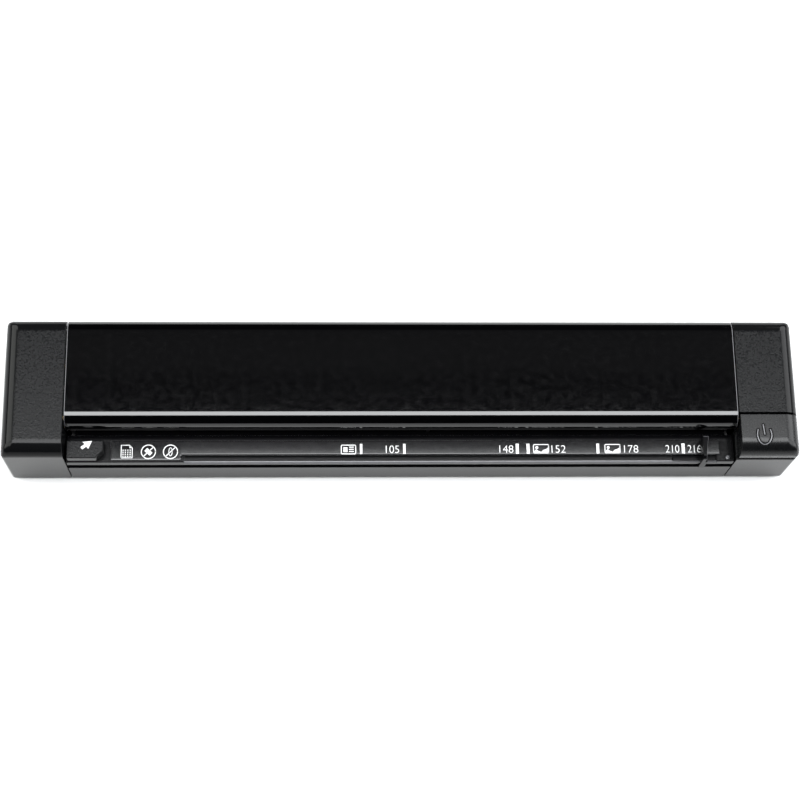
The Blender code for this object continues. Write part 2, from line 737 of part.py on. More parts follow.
def top_cover():
    """The glossy cover: rounded at the back, more tightly in front, with bosses for the upper guide."""
    outer = [(BACK, COVER_REAR_BOTTOM)]
    outer += arc((BACK - EDGE_ROUND, HEIGHT - EDGE_ROUND), EDGE_ROUND, 0, 90)
    outer += arc((COVER_EDGE_Y, HEIGHT - FRONT_ROUND), FRONT_ROUND, 90, 180, ROUND_STEPS + 1)
    outer += [(LIP_Y, LIP_BOTTOM), (LIP_Y + COVER_WALL, LIP_BOTTOM)]
    outer += arc((COVER_EDGE_Y, HEIGHT - FRONT_ROUND), FRONT_ROUND - COVER_WALL, 180, 90)
    outer += arc((BACK - EDGE_ROUND, HEIGHT - EDGE_ROUND), EDGE_ROUND - COVER_WALL, 90, 0)
    outer += [(BACK - COVER_WALL, COVER_REAR_BOTTOM)]
    cover = outline("top_cover", [outer], "X", -MID_END, MID_END, "gloss_black")
    for x, y in cover_bosses():
        join(cover, rod("cover_boss", (x, y, UPPER_TOP + SEAT), (x, y, HEIGHT - COVER_WALL / 2),
                        COVER_BOSS_RADIUS, SMALL_SIDES))
        join(cover, rod("cover_peg", (x, y, UPPER_BOTTOM + SCREW_CLEAR), (x, y, UPPER_TOP + PEG_ROOT),
                        PEG_RADIUS, SMALL_SIDES))
    return cover


def cover_bosses():
    return [(side * COVER_BOSS_X, y) for side in (-1, 1) for y in (MID_PATH_Y, BACK - COVER_BOSS_INSET)]


def bottom_case():
    """The tray that the frames stand in, with tongues that hold the end caps."""
    ring = [(FRONT, CASE_FRONT_TOP)]
    ring += arc((FRONT + SMALL_ROUND, BASE + SMALL_ROUND), SMALL_ROUND, 180, 270, CORNER_STEPS)
    ring += arc((BACK - SMALL_ROUND, BASE + SMALL_ROUND), SMALL_ROUND, 270, 360, CORNER_STEPS)
    ring += [(BACK, CASE_REAR_TOP), (BACK - CASE_WALL, CASE_REAR_TOP), (BACK - CASE_WALL, FLOOR_TOP)]
    ring += [(FRONT + CASE_WALL, FLOOR_TOP), (FRONT + CASE_WALL, CASE_FRONT_TOP)]
    case = outline("bottom_case", [ring], "X", -MID_END, MID_END, "satin_black")
    for side in (-1, 1):
        for y in TONGUE_PLACES:
            low, high = tongue_box(side, y, 0)
            foot_x, foot_z = side * (MID_END - SEAT), BASE + CASE_WALL / 2
            ring = [(low[0], foot_z), (low[0], high[2]), (high[0], high[2]), (high[0], low[2])]
            ring += [(foot_x, low[2]), (foot_x, foot_z)]
            join(case, outline("tongue", [ring], "-Y", -high[1], -low[1]))
        x = side * (MID_END + CAP_SCREW_REACH)
        cut(case, rod("tongue_hole", (x, CAP_SCREW_Y, BASE), (x, CAP_SCREW_Y, high[2] + OVERRUN),
                      SCREW_RADIUS + SCREW_CLEAR, SMALL_SIDES))
    for x, y in case_screw_places():
        cut(case, *screw_hole(x, y, CASE_WALL))
    for x, y in foot_places():
        cut(case, rod("foot_seat", (x, y, BASE - OVERRUN), (x, y, BASE + FOOT_RECESS),
                      FOOT_RADIUS + SEAT, ROUND_SIDES))
    return case


def tongue_box(side, y, spare):
    """Corners of a tongue of the bottom case, grown by spare for what makes room for it."""
    bottom = BASE + CAP_WALL + SEAT
    low = (side * (MID_END - TONGUE_ROOT - spare), y - TONGUE_WIDTH / 2 - spare, bottom - spare)
    high = (side * (MID_END + TONGUE_REACH), y + TONGUE_WIDTH / 2 + spare, bottom + TONGUE_THICK + spare)
    return low, high


def case_screw_places():
    return [(side * CASE_SCREW_X, y) for side in (-1, 1)
            for y in (FRONT + CASE_SCREW_FRONT, BACK - CASE_SCREW_BACK)]


def foot_places():
    return [(side * FOOT_X, y) for side in (-1, 1) for y in (FRONT + FOOT_INSET, BACK - FOOT_INSET)]


def rubber_feet():
    for number, (x, y) in enumerate(foot_places(), 1):
        rod(f"rubber_foot_{number}", (x, y, 0), (x, y, BASE + FOOT_RECESS - SEAT), FOOT_RADIUS,
            ROUND_SIDES, "rubber")


def feed_shelf():
    """The shelf in front of the slot, with its skirt, the guide's groove and the panel's pocket."""
    back, under = SHELF_BACK_Y, SHELF_TOP - SHELF_THICK
    beam_y = SKIRT_Y + BEAM_DEPTH
    beam_z = SHELF_TOP - BEAM_DROP
    ring = [(SKIRT_Y, SKIRT_BOTTOM), (SKIRT_Y + SKIRT_WALL, SKIRT_BOTTOM), (SKIRT_Y + SKIRT_WALL, beam_z)]
    ring += [(beam_y, beam_z), (beam_y, under), (back, under), (back, SHELF_TOP)]
    edge = (SKIRT_Y + SHELF_EDGE_ROUND, SHELF_TOP - SHELF_EDGE_ROUND)
    ring += arc(edge, SHELF_EDGE_ROUND, 90, 180, CORNER_STEPS)
    shelf = outline("feed_shelf", [ring], "X", -MID_END, MID_END, "satin_black")
    groove_low = (GROOVE_LEFT, FRONT - OVERRUN, SHELF_TOP - GROOVE_DEPTH)
    groove = box("guide_groove", groove_low, (GROOVE_RIGHT, FRONT + GROOVE_BACK, SHELF_TOP + OVERRUN))
    catch = box("catch_recess", (-MID_END - OVERRUN, FRONT - OVERRUN, SKIRT_BOTTOM - OVERRUN),
                (MID_END + OVERRUN, SKIRT_Y + CATCH_DEPTH, CATCH_TOP))
    pocket = outline("panel_pocket", [panel_ring(PANEL_CLEAR)], "Z",
                     SHELF_TOP - PANEL_THICK - SEAT, SHELF_TOP + OVERRUN)
    light = rod("light_hole", (LIGHT_X, FRONT + LIGHT_INSET, SHELF_TOP - BEAM_DROP - SEAT),
                (LIGHT_X, FRONT + LIGHT_INSET, SHELF_TOP + OVERRUN), LIGHT_RADIUS + PANEL_CLEAR, ROUND_SIDES)
    return cut(shelf, groove, catch, pocket, light)


def panel_ring(spare):
    """The marking panel's outline, which is wider to the left of the guide's groove."""
    left, right = PANEL_LEFT - spare, PANEL_RIGHT + spare
    front, back = FRONT + PANEL_FRONT - spare, FRONT + PANEL_BACK + spare
    wide_front, step = FRONT + PANEL_WIDE_FRONT - spare, GROOVE_LEFT - PANEL_STEP_GAP + spare
    ring = [(left, back), (left, wide_front)]
    ring += arc((step - PANEL_CORNER, wide_front + PANEL_CORNER), PANEL_CORNER, -90, 0, CORNER_STEPS)
    return ring + [(step, front), (right, front), (right, back)]


def marking_panel():
    """The printed strip, which fills its pocket in the shelf."""
    return outline("marking_panel", [panel_ring(0)], "Z", SHELF_TOP - PANEL_THICK, SHELF_TOP, "gloss_black")


def light_pipe():
    y = FRONT + LIGHT_INSET
    return rod("light_pipe", (LIGHT_X, y, SHELF_TOP - BEAM_DROP), (LIGHT_X, y, SHELF_TOP + LIGHT_RISE),
               LIGHT_RADIUS, ROUND_SIDES, "light_lens")


def paper_stop():
    """The raised block at the left, with its front right corner cut off."""
    left, front = -MID_END + SEAT, FRONT + STOP_FRONT_GAP
    ring = [(left, front), (STOP_RIGHT - STOP_CORNER, front), (STOP_RIGHT, front + STOP_CORNER)]
    ring += [(STOP_RIGHT, front + STOP_DEPTH), (left, front + STOP_DEPTH)]
    stop = outline("paper_stop", [ring], "Z", SHELF_TOP + SEAT, SHELF_TOP + STOP_HEIGHT, "textured_black")
    bevel = stop.modifiers.new("edges", "BEVEL")
    bevel.width = STOP_ROUND
    bevel.segments = CORNER_STEPS
    bevel.limit_method = "ANGLE"
    return stop


def paper_guide():
    """The sliding guide: a blade, a runner in the groove, and a nose that hooks over the shelf's edge."""
    nose = FRONT - HOOK_PROUD
    inner = SKIRT_Y - GUIDE_CLEAR
    floor = SHELF_TOP - GROOVE_DEPTH + GUIDE_CLEAR
    top = SHELF_TOP + GUIDE_HEIGHT
    back = FRONT + GUIDE_BACK
    ring = [(back, SHELF_TOP + GUIDE_CLEAR), (back, top - STOP_ROUND), (back - STOP_ROUND, top)]
    ring += arc((nose + GUIDE_NOSE_ROUND, top - GUIDE_NOSE_ROUND), GUIDE_NOSE_ROUND, 90, 180, CORNER_STEPS)
    ring += [(nose, HOOK_BOTTOM), (inner, HOOK_BOTTOM), (inner, CATCH_TOP - CATCH_HEIGHT + CATCH_CLEAR)]
    ring += [(inner + CATCH_DEPTH, CATCH_TOP - CATCH_HEIGHT + CATCH_CLEAR)]
    ring += [(inner + CATCH_DEPTH, CATCH_TOP - CATCH_CLEAR), (inner, CATCH_TOP - CATCH_CLEAR)]
    ring += [(inner, floor), (FRONT + GROOVE_BACK - GUIDE_CLEAR, floor)]
    ring += [(FRONT + GROOVE_BACK - GUIDE_CLEAR, SHELF_TOP + GUIDE_CLEAR)]
    guide = outline("paper_guide", [ring], "X", GUIDE_FACE_X, GUIDE_FACE_X + GUIDE_THICK, "satin_black")
    thin, thick = GUIDE_FACE_X + GUIDE_THIN, GUIDE_FACE_X + GUIDE_THICK
    waist = [(thick, back), (thin, nose + BEAM_DEPTH / 2), (thin, nose - OVERRUN)]
    waist += [(thick + OVERRUN, nose - OVERRUN), (thick + OVERRUN, back)]
    trim = outline("guide_trim", [waist], "Z", SHELF_TOP + GUIDE_TRIM_RISE, top + OVERRUN)
    cut(guide, trim)
    runner_low = (GUIDE_FACE_X - RUNNER_LEFT, FRONT + RUNNER_SETBACK, floor + RUNNER_INSET)
    runner_back = FRONT + GROOVE_BACK - GUIDE_CLEAR - RUNNER_INSET
    join(guide, box("runner", runner_low, (thick + RUNNER_RIGHT, runner_back, floor + RUNNER_HEIGHT)))
    return set_origin(guide, (GUIDE_FACE_X, FRONT, SHELF_TOP))


def power_button():
    """The button is a hollow corner of the right cap, with a stem and two hooked legs."""
    whole = cap_body("power_button", 1, 0, "textured_black")
    below = box("below_button", (CAP_FACE - OVERRUN, FRONT - OVERRUN, BASE - OVERRUN),
                (WIDTH / 2 + OVERRUN, BACK + OVERRUN, BUTTON_BOTTOM))
    behind = box("behind_button", (CAP_FACE - OVERRUN, BUTTON_BACK, BASE),
                 (WIDTH / 2 + OVERRUN, BACK + OVERRUN, HEIGHT + OVERRUN))
    beside = box("beside_button", (CAP_FACE - OVERRUN, FRONT - OVERRUN, BASE),
                 (CAP_FACE + SEAT, BACK + OVERRUN, HEIGHT + OVERRUN))
    hollow = cap_body("button_hollow", 1, BUTTON_WALL)
    hollow_limit = box("hollow_limit", (CAP_FACE, BUTTON_BACK - BUTTON_WALL, BASE), (WIDTH / 2, BACK, HEIGHT))
    cut(hollow, hollow_limit)
    cut(whole, below, behind, beside, hollow)
    stem_bottom = BOARD_TOP + SEAT + SWITCH_HEIGHT + PLUNGER_HEIGHT - PLUNGER_SUNK + SEAT
    stem_top = HEIGHT - BUTTON_WALL / 2
    join(whole, rod("stem", (STEM_AT_X, STEM_AT_Y, stem_bottom), (STEM_AT_X, STEM_AT_Y, stem_top),
                    STEM_RADIUS, SMALL_SIDES))
    roof_bottom = BUTTON_BOTTOM - BUTTON_UNDER_GAP - CAP_WALL
    for way in (-1, 1):
        x = STEM_AT_X + way * LEG_SPREAD
        inner, outer = x - way * LEG_THICK / 2, x + way * LEG_THICK / 2
        barb = outer + way * (LEG_SLOT_CLEAR + LEG_BARB)
        bottom = roof_bottom - SEAT - LEG_BARB_HEIGHT
        leg = [(inner, bottom), (inner, HEIGHT - BUTTON_WALL / 2), (outer, HEIGHT - BUTTON_WALL / 2)]
        leg += [(outer, roof_bottom - SEAT), (barb, roof_bottom - SEAT), (outer, bottom)]
        join(whole, outline("leg", [leg], "-Y", -STEM_AT_Y - LEG_WIDTH / 2, -STEM_AT_Y + LEG_WIDTH / 2))
    return set_origin(whole, (STEM_AT_X, STEM_AT_Y, BUTTON_BOTTOM))


def button_spring():
    roof_top = BUTTON_BOTTOM - BUTTON_UNDER_GAP
    points = coil_points((STEM_AT_X, STEM_AT_Y), roof_top + SEAT + SPRING_WIRE,
                         HEIGHT - BUTTON_WALL - SEAT - SPRING_WIRE, SPRING_RADIUS, SPRING_TURNS)
    return wire("button_spring", points, SPRING_WIRE, "steel")


def side_frame(name, side):
    """A plate that stands across the case and carries the rollers' bushes."""
    low = FLOOR_TOP + SEAT
    front, rear = FRONT + CASE_WALL + SEAT, BACK - CASE_WALL - SEAT
    step_z = SHELF_TOP - BEAM_DROP - SEAT
    rise_y = LIP_Y + COVER_WALL + SEAT
    top = COVER_UNDER - SEAT
    slope = EDGE_ROUND - COVER_WALL
    ring = [(front, low), (rear, low), (rear, top - slope), (rear - slope, top)]
    ring += [(COVER_EDGE_Y + SEAT, top), (rise_y, top - FRONT_ROUND), (rise_y, step_z), (front, step_z)]
    holes = [circle((y, AXLE_Z), BUSH_RADIUS + RUNNING_CLEARANCE) for y in (FEED_Y, EXIT_Y)]
    if side < 0:
        holes += [circle(place, PIN_RADIUS + RUNNING_CLEARANCE) for place in (IDLER_AT, COMPOUND_AT)]
    start, end = sorted((side * FRAME_X, side * (FRAME_X - FRAME_THICK)))
    frame = outline(name, [ring] + holes, "X", start, end, "black_steel")
    for y in TONGUE_PLACES:
        cut(frame, box("tongue_notch", *tongue_box(side, y, SEAT)))
        cut(frame, box("tongue_root_notch", (side * (MID_END + SEAT), y - TONGUE_WIDTH / 2 - SEAT, BASE),
                       (side * (MID_END - TONGUE_ROOT - SEAT), y + TONGUE_WIDTH / 2 + SEAT,
                        BASE + CAP_WALL + SEAT + TONGUE_THICK)))
    wide = MOTOR_CABLE_WIDTH / 2 + SEAT
    cut(frame, box("cable_notch", (side * (FRAME_X - FRAME_THICK - OVERRUN), MOTOR_CABLE_Y - wide, BASE),
                   (side * (FRAME_X + OVERRUN), MOTOR_CABLE_Y + wide, MOTOR_CABLE_Z + CABLE_THICK * 2)))
    if side > 0:
        wide, high = RIBBON_WIDTH / 2 + SEAT, CABLE_THICK * 2
        cut(frame, box("ribbon_window", (FRAME_X - FRAME_THICK - OVERRUN, RIBBON_Y - wide, RIBBON_Z - high),
                       (FRAME_X + OVERRUN, RIBBON_Y + wide, RIBBON_Z + high)))
    return frame


def bushes():
    """Flanged bushes, two in each side frame."""
    bore = SHAFT_RADIUS + RUNNING_CLEARANCE
    flange_high = FRAME_THICK + BUSH_GAP + BUSH_FLANGE_THICK
    profile = [(BUSH_FLANGE_RADIUS, flange_high), (BUSH_FLANGE_RADIUS, FRAME_THICK + BUSH_GAP),
               (BUSH_RADIUS, FRAME_THICK + BUSH_GAP), (BUSH_RADIUS, 0), (bore, 0), (bore, flange_high)]
    for side_name, side in (("left", -1), ("right", 1)):
        for roller_name, y in (("feed", FEED_Y), ("exit", EXIT_Y)):
            bush = turned(f"{side_name}_{roller_name}_bush", profile, (0, 0, 0), FINE_SIDES, "brass")
            facing = Matrix.Identity(4) if side > 0 else Matrix.Rotation(math.pi, 4, "Z")
            place = Matrix.Translation((side * (FRAME_X - FRAME_THICK), y, AXLE_Z))
            bush.matrix_world = place @ facing @ TURNED["X"].to_4x4()


def roller_shaft(name, y):
    start = -(FRAME_X + GEAR_FRAME_GAP + GEAR_WIDTH + SHAFT_OVERHANG)
    end = FRAME_X + BUSH_GAP + BUSH_FLANGE_THICK + SHAFT_OVERHANG
    shaft = rod(name, (start, y, AXLE_Z), (end, y, AXLE_Z), SHAFT_RADIUS, FINE_SIDES, "steel")
    return shaft


def roller_rubber(name, y):
    """A moulded sleeve with raised tyres that show through the bed's windows."""
    profile = collar_profile(RUBBER_PLACES, RUBBER_LENGTH / 2, ROLLER_RADIUS, SLEEVE_RADIUS,
                             SHAFT_RADIUS + RUNNING_CLEARANCE)
    return turned(name, profile, (0, y, AXLE_Z), ROUND_SIDES, "roller_rubber")


def pinch_roller(name, y):
    """A thin shaft with raised rollers, turned in one piece."""
    reach = COVER_BOSS_X + PINCH_POST_THICK
    raised = collar_profile(RUBBER_PLACES, PINCH_LENGTH / 2, PINCH_RADIUS, PINCH_SHAFT_RADIUS, 0)
    profile = [(0, reach), (PINCH_SHAFT_RADIUS, reach)]
    profile += [(PINCH_SHAFT_RADIUS, RUBBER_PLACES[0] + PINCH_LENGTH / 2)] + raised
    profile += [(PINCH_SHAFT_RADIUS, RUBBER_PLACES[-1] - PINCH_LENGTH / 2)]
    profile += [(PINCH_SHAFT_RADIUS, -reach), (0, -reach)]
    return turned(name, profile, (0, y, PINCH_Z), FINE_SIDES, "white_plastic")


def window(name, x0, x1, y, half, low, high):
    return box(name, (x0, y - half, low - OVERRUN), (x1, y + half, high + OVERRUN))


def lower_bed():
    """The plate under the paper, with windows, posts for the case screws and ears for the sensor flag."""
    bed = box("lower_paper_bed", (-PLATE_END, BED_FRONT_Y, BED_BOTTOM),
              (PLATE_END, BED_REAR_Y, BED_TOP), "satin_black")
    for x, y in case_screw_places():
        join(bed, rod("bed_post", (x, y, FLOOR_TOP + SEAT), (x, y, BED_TOP - BED_THICK / 2),
                      POST_RADIUS, SMALL_SIDES))
        cut(bed, rod("bed_post_hole", (x, y, FLOOR_TOP), (x, y, FLOOR_TOP + SCREW_LENGTH),
                     SCREW_RADIUS + SCREW_CLEAR, SMALL_SIDES))
    for way in (-1, 1):
        x = FLAG_X + way * EAR_OFFSET
        join(bed, box("flag_ear", (x - EAR_THICK / 2, FLAG_Y - EAR_HALF, FLAG_Z - EAR_HALF),
                      (x + EAR_THICK / 2, FLAG_Y + EAR_HALF, BED_TOP - BED_THICK / 2)))
    cut(bed, rod("flag_bore", (FLAG_X - FLAG_AXLE_LENGTH, FLAG_Y, FLAG_Z),
                 (FLAG_X + FLAG_AXLE_LENGTH, FLAG_Y, FLAG_Z),
                 FLAG_AXLE_RADIUS + RUNNING_CLEARANCE, FINE_SIDES))
    cut(bed, box("flag_slot", (FLAG_X - FLAG_THICK, FLAG_Y - FLAG_SLOT_FRONT, BED_BOTTOM - OVERRUN),
                 (FLAG_X + FLAG_THICK, FLAG_Y + FLAG_SLOT_LENGTH, BED_TOP + OVERRUN)))
    half = ROLLER_RADIUS - WINDOW_NARROW
    for x in RUBBER_PLACES:
        reach = RUBBER_LENGTH / 2 + WINDOW_CLEAR
        for y in (FEED_Y, EXIT_Y):
            cut(bed, window("roller_window", x - reach, x + reach, y, half, BED_BOTTOM, BED_TOP))
    for y in (FEED_Y, EXIT_Y):
        cut(bed, box("sleeve_relief", (RUBBER_PLACES[-1], y - SLEEVE_RADIUS, BED_BOTTOM - OVERRUN),
                     (RUBBER_PLACES[0], y + SLEEVE_RADIUS, BED_BOTTOM + RELIEF_DEPTH)))
    reach = GLASS_END + SEAT
    cut(bed, window("glass_window", -reach, reach, MID_PATH_Y, GLASS_DEPTH / 2 + SEAT, BED_BOTTOM, BED_TOP))
    return bed


def upper_guide():
    """The plate over the paper, with windows for the pinch rollers and posts for their shafts."""
    front, rear = FRONT + BODY_DEPTH * UPPER_FRONT_SHARE, BACK - UPPER_REAR_SETBACK
    ring = [(front + UPPER_THICK / 2, UPPER_BOTTOM), (rear, UPPER_BOTTOM), (rear, UPPER_TOP)]
    ring += [(front, UPPER_TOP), (front, UPPER_BOTTOM + UPPER_THICK / 2)]
    guide = outline("upper_paper_guide", [ring], "X", -PLATE_END, PLATE_END, "inner_plastic")
    for side in (-1, 1):
        x = side * COVER_BOSS_X
        start, end = x - PINCH_POST_THICK / 2, x + PINCH_POST_THICK / 2
        for y in (FEED_Y, EXIT_Y):
            join(guide, box("pinch_post", (start, y - PINCH_POST_HALF, UPPER_TOP - UPPER_THICK / 2),
                            (end, y + PINCH_POST_HALF, PINCH_Z + PINCH_POST_TOP)))
            slot = PINCH_SHAFT_RADIUS + RUNNING_CLEARANCE
            cut(guide, rod("pinch_bore", (x - PINCH_POST_THICK, y, PINCH_Z),
                           (x + PINCH_POST_THICK, y, PINCH_Z), slot, FINE_SIDES))
            cut(guide, box("pinch_slot", (x - PINCH_POST_THICK, y - slot, PINCH_Z),
                           (x + PINCH_POST_THICK, y + slot, PINCH_Z + PINCH_POST_TOP + OVERRUN)))
    for x, y in cover_bosses():
        cut(guide, rod("guide_screw_way", (x, y, UPPER_BOTTOM - OVERRUN), (x, y, UPPER_TOP + OVERRUN),
                       SCREW_RADIUS + SCREW_CLEAR, SMALL_SIDES))
    for x in RUBBER_PLACES:
        reach, half = PINCH_LENGTH / 2 + WINDOW_CLEAR, PINCH_RADIUS + SEAT
        for y in (FEED_Y, EXIT_Y):
            cut(guide, window("pinch_window", x - reach, x + reach, y, half, UPPER_BOTTOM, UPPER_TOP))
    reach, half = BACKING_END + SEAT, BACKING_DEPTH / 2 + SEAT
    cut(guide, window("backing_window", -reach, reach, MID_PATH_Y, half, UPPER_BOTTOM, UPPER_TOP))
    return guide


def pinch_leaves():
    """A flat spring over the posts at each end, which holds both pinch rollers down."""
    low = PINCH_Z + PINCH_POST_TOP + SEAT
    room = COVER_BOSS_RADIUS + SEAT
    for side_name, side in (("left", -1), ("right", 1)):
        middle = side * COVER_BOSS_X
        leaf = box(side_name + "_pinch_spring",
                   (middle - LEAF_WIDTH / 2, FEED_Y - PINCH_POST_HALF, low),
                   (middle + LEAF_WIDTH / 2, EXIT_Y + PINCH_POST_HALF, low + LEAF_THICK), "steel")
        cut(leaf, box("leaf_window", (middle - room, MID_PATH_Y - room, low - OVERRUN),
                      (middle + room, MID_PATH_Y + room, low + OVERRUN)))


def backing_bar():
    half = BACKING_DEPTH / 2
    return box("white_backing_bar", (-BACKING_END, MID_PATH_Y - half, SHELF_TOP + BACKING_LIFT),
               (BACKING_END, MID_PATH_Y + half, UPPER_TOP), "white_plastic")


def image_sensor():
    """The sensor bar: an open channel with its board and lens row inside, under a glass."""
    bottom = SENSOR_TOP - SENSOR_HEIGHT
    half = SENSOR_DEPTH / 2
    housing = box("sensor_housing", (-SENSOR_END, MID_PATH_Y - half, bottom),
                  (SENSOR_END, MID_PATH_Y + half, SENSOR_TOP), "inner_plastic")
    channel_half, channel_reach = CHANNEL_DEPTH / 2, SENSOR_END - CHANNEL_END
    cut(housing, box("channel", (-channel_reach, MID_PATH_Y - channel_half, bottom + CHANNEL_FLOOR),
                     (channel_reach, MID_PATH_Y + channel_half, SENSOR_TOP + OVERRUN)))
    box("sensor_glass", (-GLASS_END, MID_PATH_Y - GLASS_DEPTH / 2, SENSOR_TOP + SEAT),
        (GLASS_END, MID_PATH_Y + GLASS_DEPTH / 2, BED_TOP), "glass")
    reach = channel_reach - SEAT
    box("rod_lens_row", (-reach, MID_PATH_Y - LENS_DEPTH / 2, bottom + CHANNEL_FLOOR + SEAT),
        (reach, MID_PATH_Y + LENS_DEPTH / 2, SENSOR_TOP - SEAT), "white_plastic")
    for number, x in enumerate(CRADLE_SPRING_PLACES, 1):
        points = coil_points((x, MID_PATH_Y), FLOOR_TOP + SEAT + CRADLE_SPRING_WIRE,
                             bottom - SEAT - CRADLE_SPRING_WIRE, CRADLE_SPRING_RADIUS, CRADLE_SPRING_TURNS)
        wire(f"sensor_spring_{number}", points, CRADLE_SPRING_WIRE, "steel")


def involute(angle):
    return math.tan(angle) - angle


def gear_ring(teeth, centre, phase):
    """The outline of a spur gear with involute flanks, thinned for its play."""
    pitch = MODULE * teeth / 2
    base = pitch * math.cos(PRESSURE_ANGLE)
    tip = pitch + MODULE * TIP_SHARE
    root = pitch - MODULE * DEDENDUM_SHARE
    half = math.pi / (2 * teeth) - BACKLASH / (4 * pitch) + involute(PRESSURE_ANGLE)
    start = max(base, root)
    radii = [start + (tip - start) * step / FLANK_STEPS for step in range(FLANK_STEPS + 1)]
    flank = [(radius, half - involute(math.acos(min(base / radius, 1)))) for radius in radii]
    if root < base:
        flank.insert(0, (root, flank[0][1]))
    ring = []
    for tooth in range(teeth):
        middle = phase + 2 * math.pi * tooth / teeth
        ring += [(radius, middle - angle) for radius, angle in flank]
        ring += [(radius, middle + angle) for radius, angle in reversed(flank)]
    return [(centre[0] + radius * math.cos(a), centre[1] + radius * math.sin(a)) for radius, a in ring]


def meshed_phase(teeth, centre, phase, next_teeth, next_centre):
    """The phase that puts the next gear's gap on this gear's tooth."""
    line = math.atan2(next_centre[1] - centre[1], next_centre[0] - centre[0])
    behind = (line - phase) % (2 * math.pi / teeth)
    return line + math.pi + behind * teeth / next_teeth + math.pi / next_teeth


def gear(name, teeth, centre, phase, start, end, bore):
    rings = [gear_ring(teeth, centre, phase), circle(centre, bore)]
    made = outline(name, rings, "X", start, end, "gear_plastic")
    return set_origin(made, ((start + end) / 2, *centre))


def gear_train():
    """The train in the left cap: motor pinion, compound gear, exit gear, idler and feed gear."""
    inner_end = -(FRAME_X + GEAR_FRAME_GAP)
    inner_start = inner_end - GEAR_WIDTH
    outer_end = inner_start - GEAR_GAP
    outer_start = outer_end - GEAR_WIDTH
    exit_at, feed_at = (EXIT_Y, AXLE_Z), (FEED_Y, AXLE_Z)
    exit_phase = 0.0
    idler_phase = meshed_phase(ROLLER_TEETH, exit_at, exit_phase, IDLER_TEETH, IDLER_AT)
    feed_phase = meshed_phase(IDLER_TEETH, IDLER_AT, idler_phase, ROLLER_TEETH, feed_at)
    small_phase = meshed_phase(ROLLER_TEETH, exit_at, exit_phase, SMALL_TEETH, COMPOUND_AT)
    large_phase = 0.0
    pinion_phase = meshed_phase(LARGE_TEETH, COMPOUND_AT, large_phase, PINION_TEETH, MOTOR_AT)
    shaft_bore, pin_bore = SHAFT_RADIUS + RUNNING_CLEARANCE, PIN_RADIUS + RUNNING_CLEARANCE
    gear("exit_roller_gear", ROLLER_TEETH, exit_at, exit_phase, inner_start, inner_end, shaft_bore)
    gear("idler_gear", IDLER_TEETH, IDLER_AT, idler_phase, inner_start, inner_end, pin_bore)
    gear("feed_roller_gear", ROLLER_TEETH, feed_at, feed_phase, inner_start, inner_end, shaft_bore)
    compound = outline("compound_gear", [gear_ring(LARGE_TEETH, COMPOUND_AT, large_phase)], "X",
                       outer_start, outer_end, "gear_plastic")
    small = outline("small_gear", [gear_ring(SMALL_TEETH, COMPOUND_AT, small_phase)], "X",
                    outer_end - GEAR_WIDTH / 2, inner_end)
    bore = rod("compound_bore", (outer_start - OVERRUN, *COMPOUND_AT), (inner_end + OVERRUN, *COMPOUND_AT),
               pin_bore, FINE_SIDES)
    cut(join(compound, small), bore)
    set_origin(compound, (outer_start, *COMPOUND_AT))
    bracket_end = outer_start - GEAR_GAP
    for name, place in (("idler_pin", IDLER_AT), ("compound_pin", COMPOUND_AT)):
        rod(name, (-(FRAME_X - FRAME_THICK), *place), (bracket_end - BRACKET_THICK, *place), PIN_RADIUS,
            FINE_SIDES, "steel")
    motor(bracket_end)
    rotor = outline("rotor_pinion", [gear_ring(PINION_TEETH, MOTOR_AT, pinion_phase)], "X",
                    outer_start, outer_end, "brass")
    join(rotor, rod("rotor_shaft", (bracket_end - BRACKET_THICK - SEAT - SHAFT_SUNK, *MOTOR_AT),
                    (outer_end - GEAR_WIDTH / 2, *MOTOR_AT), MOTOR_SHAFT_RADIUS, FINE_SIDES))
    set_origin(rotor, (outer_end, *MOTOR_AT))


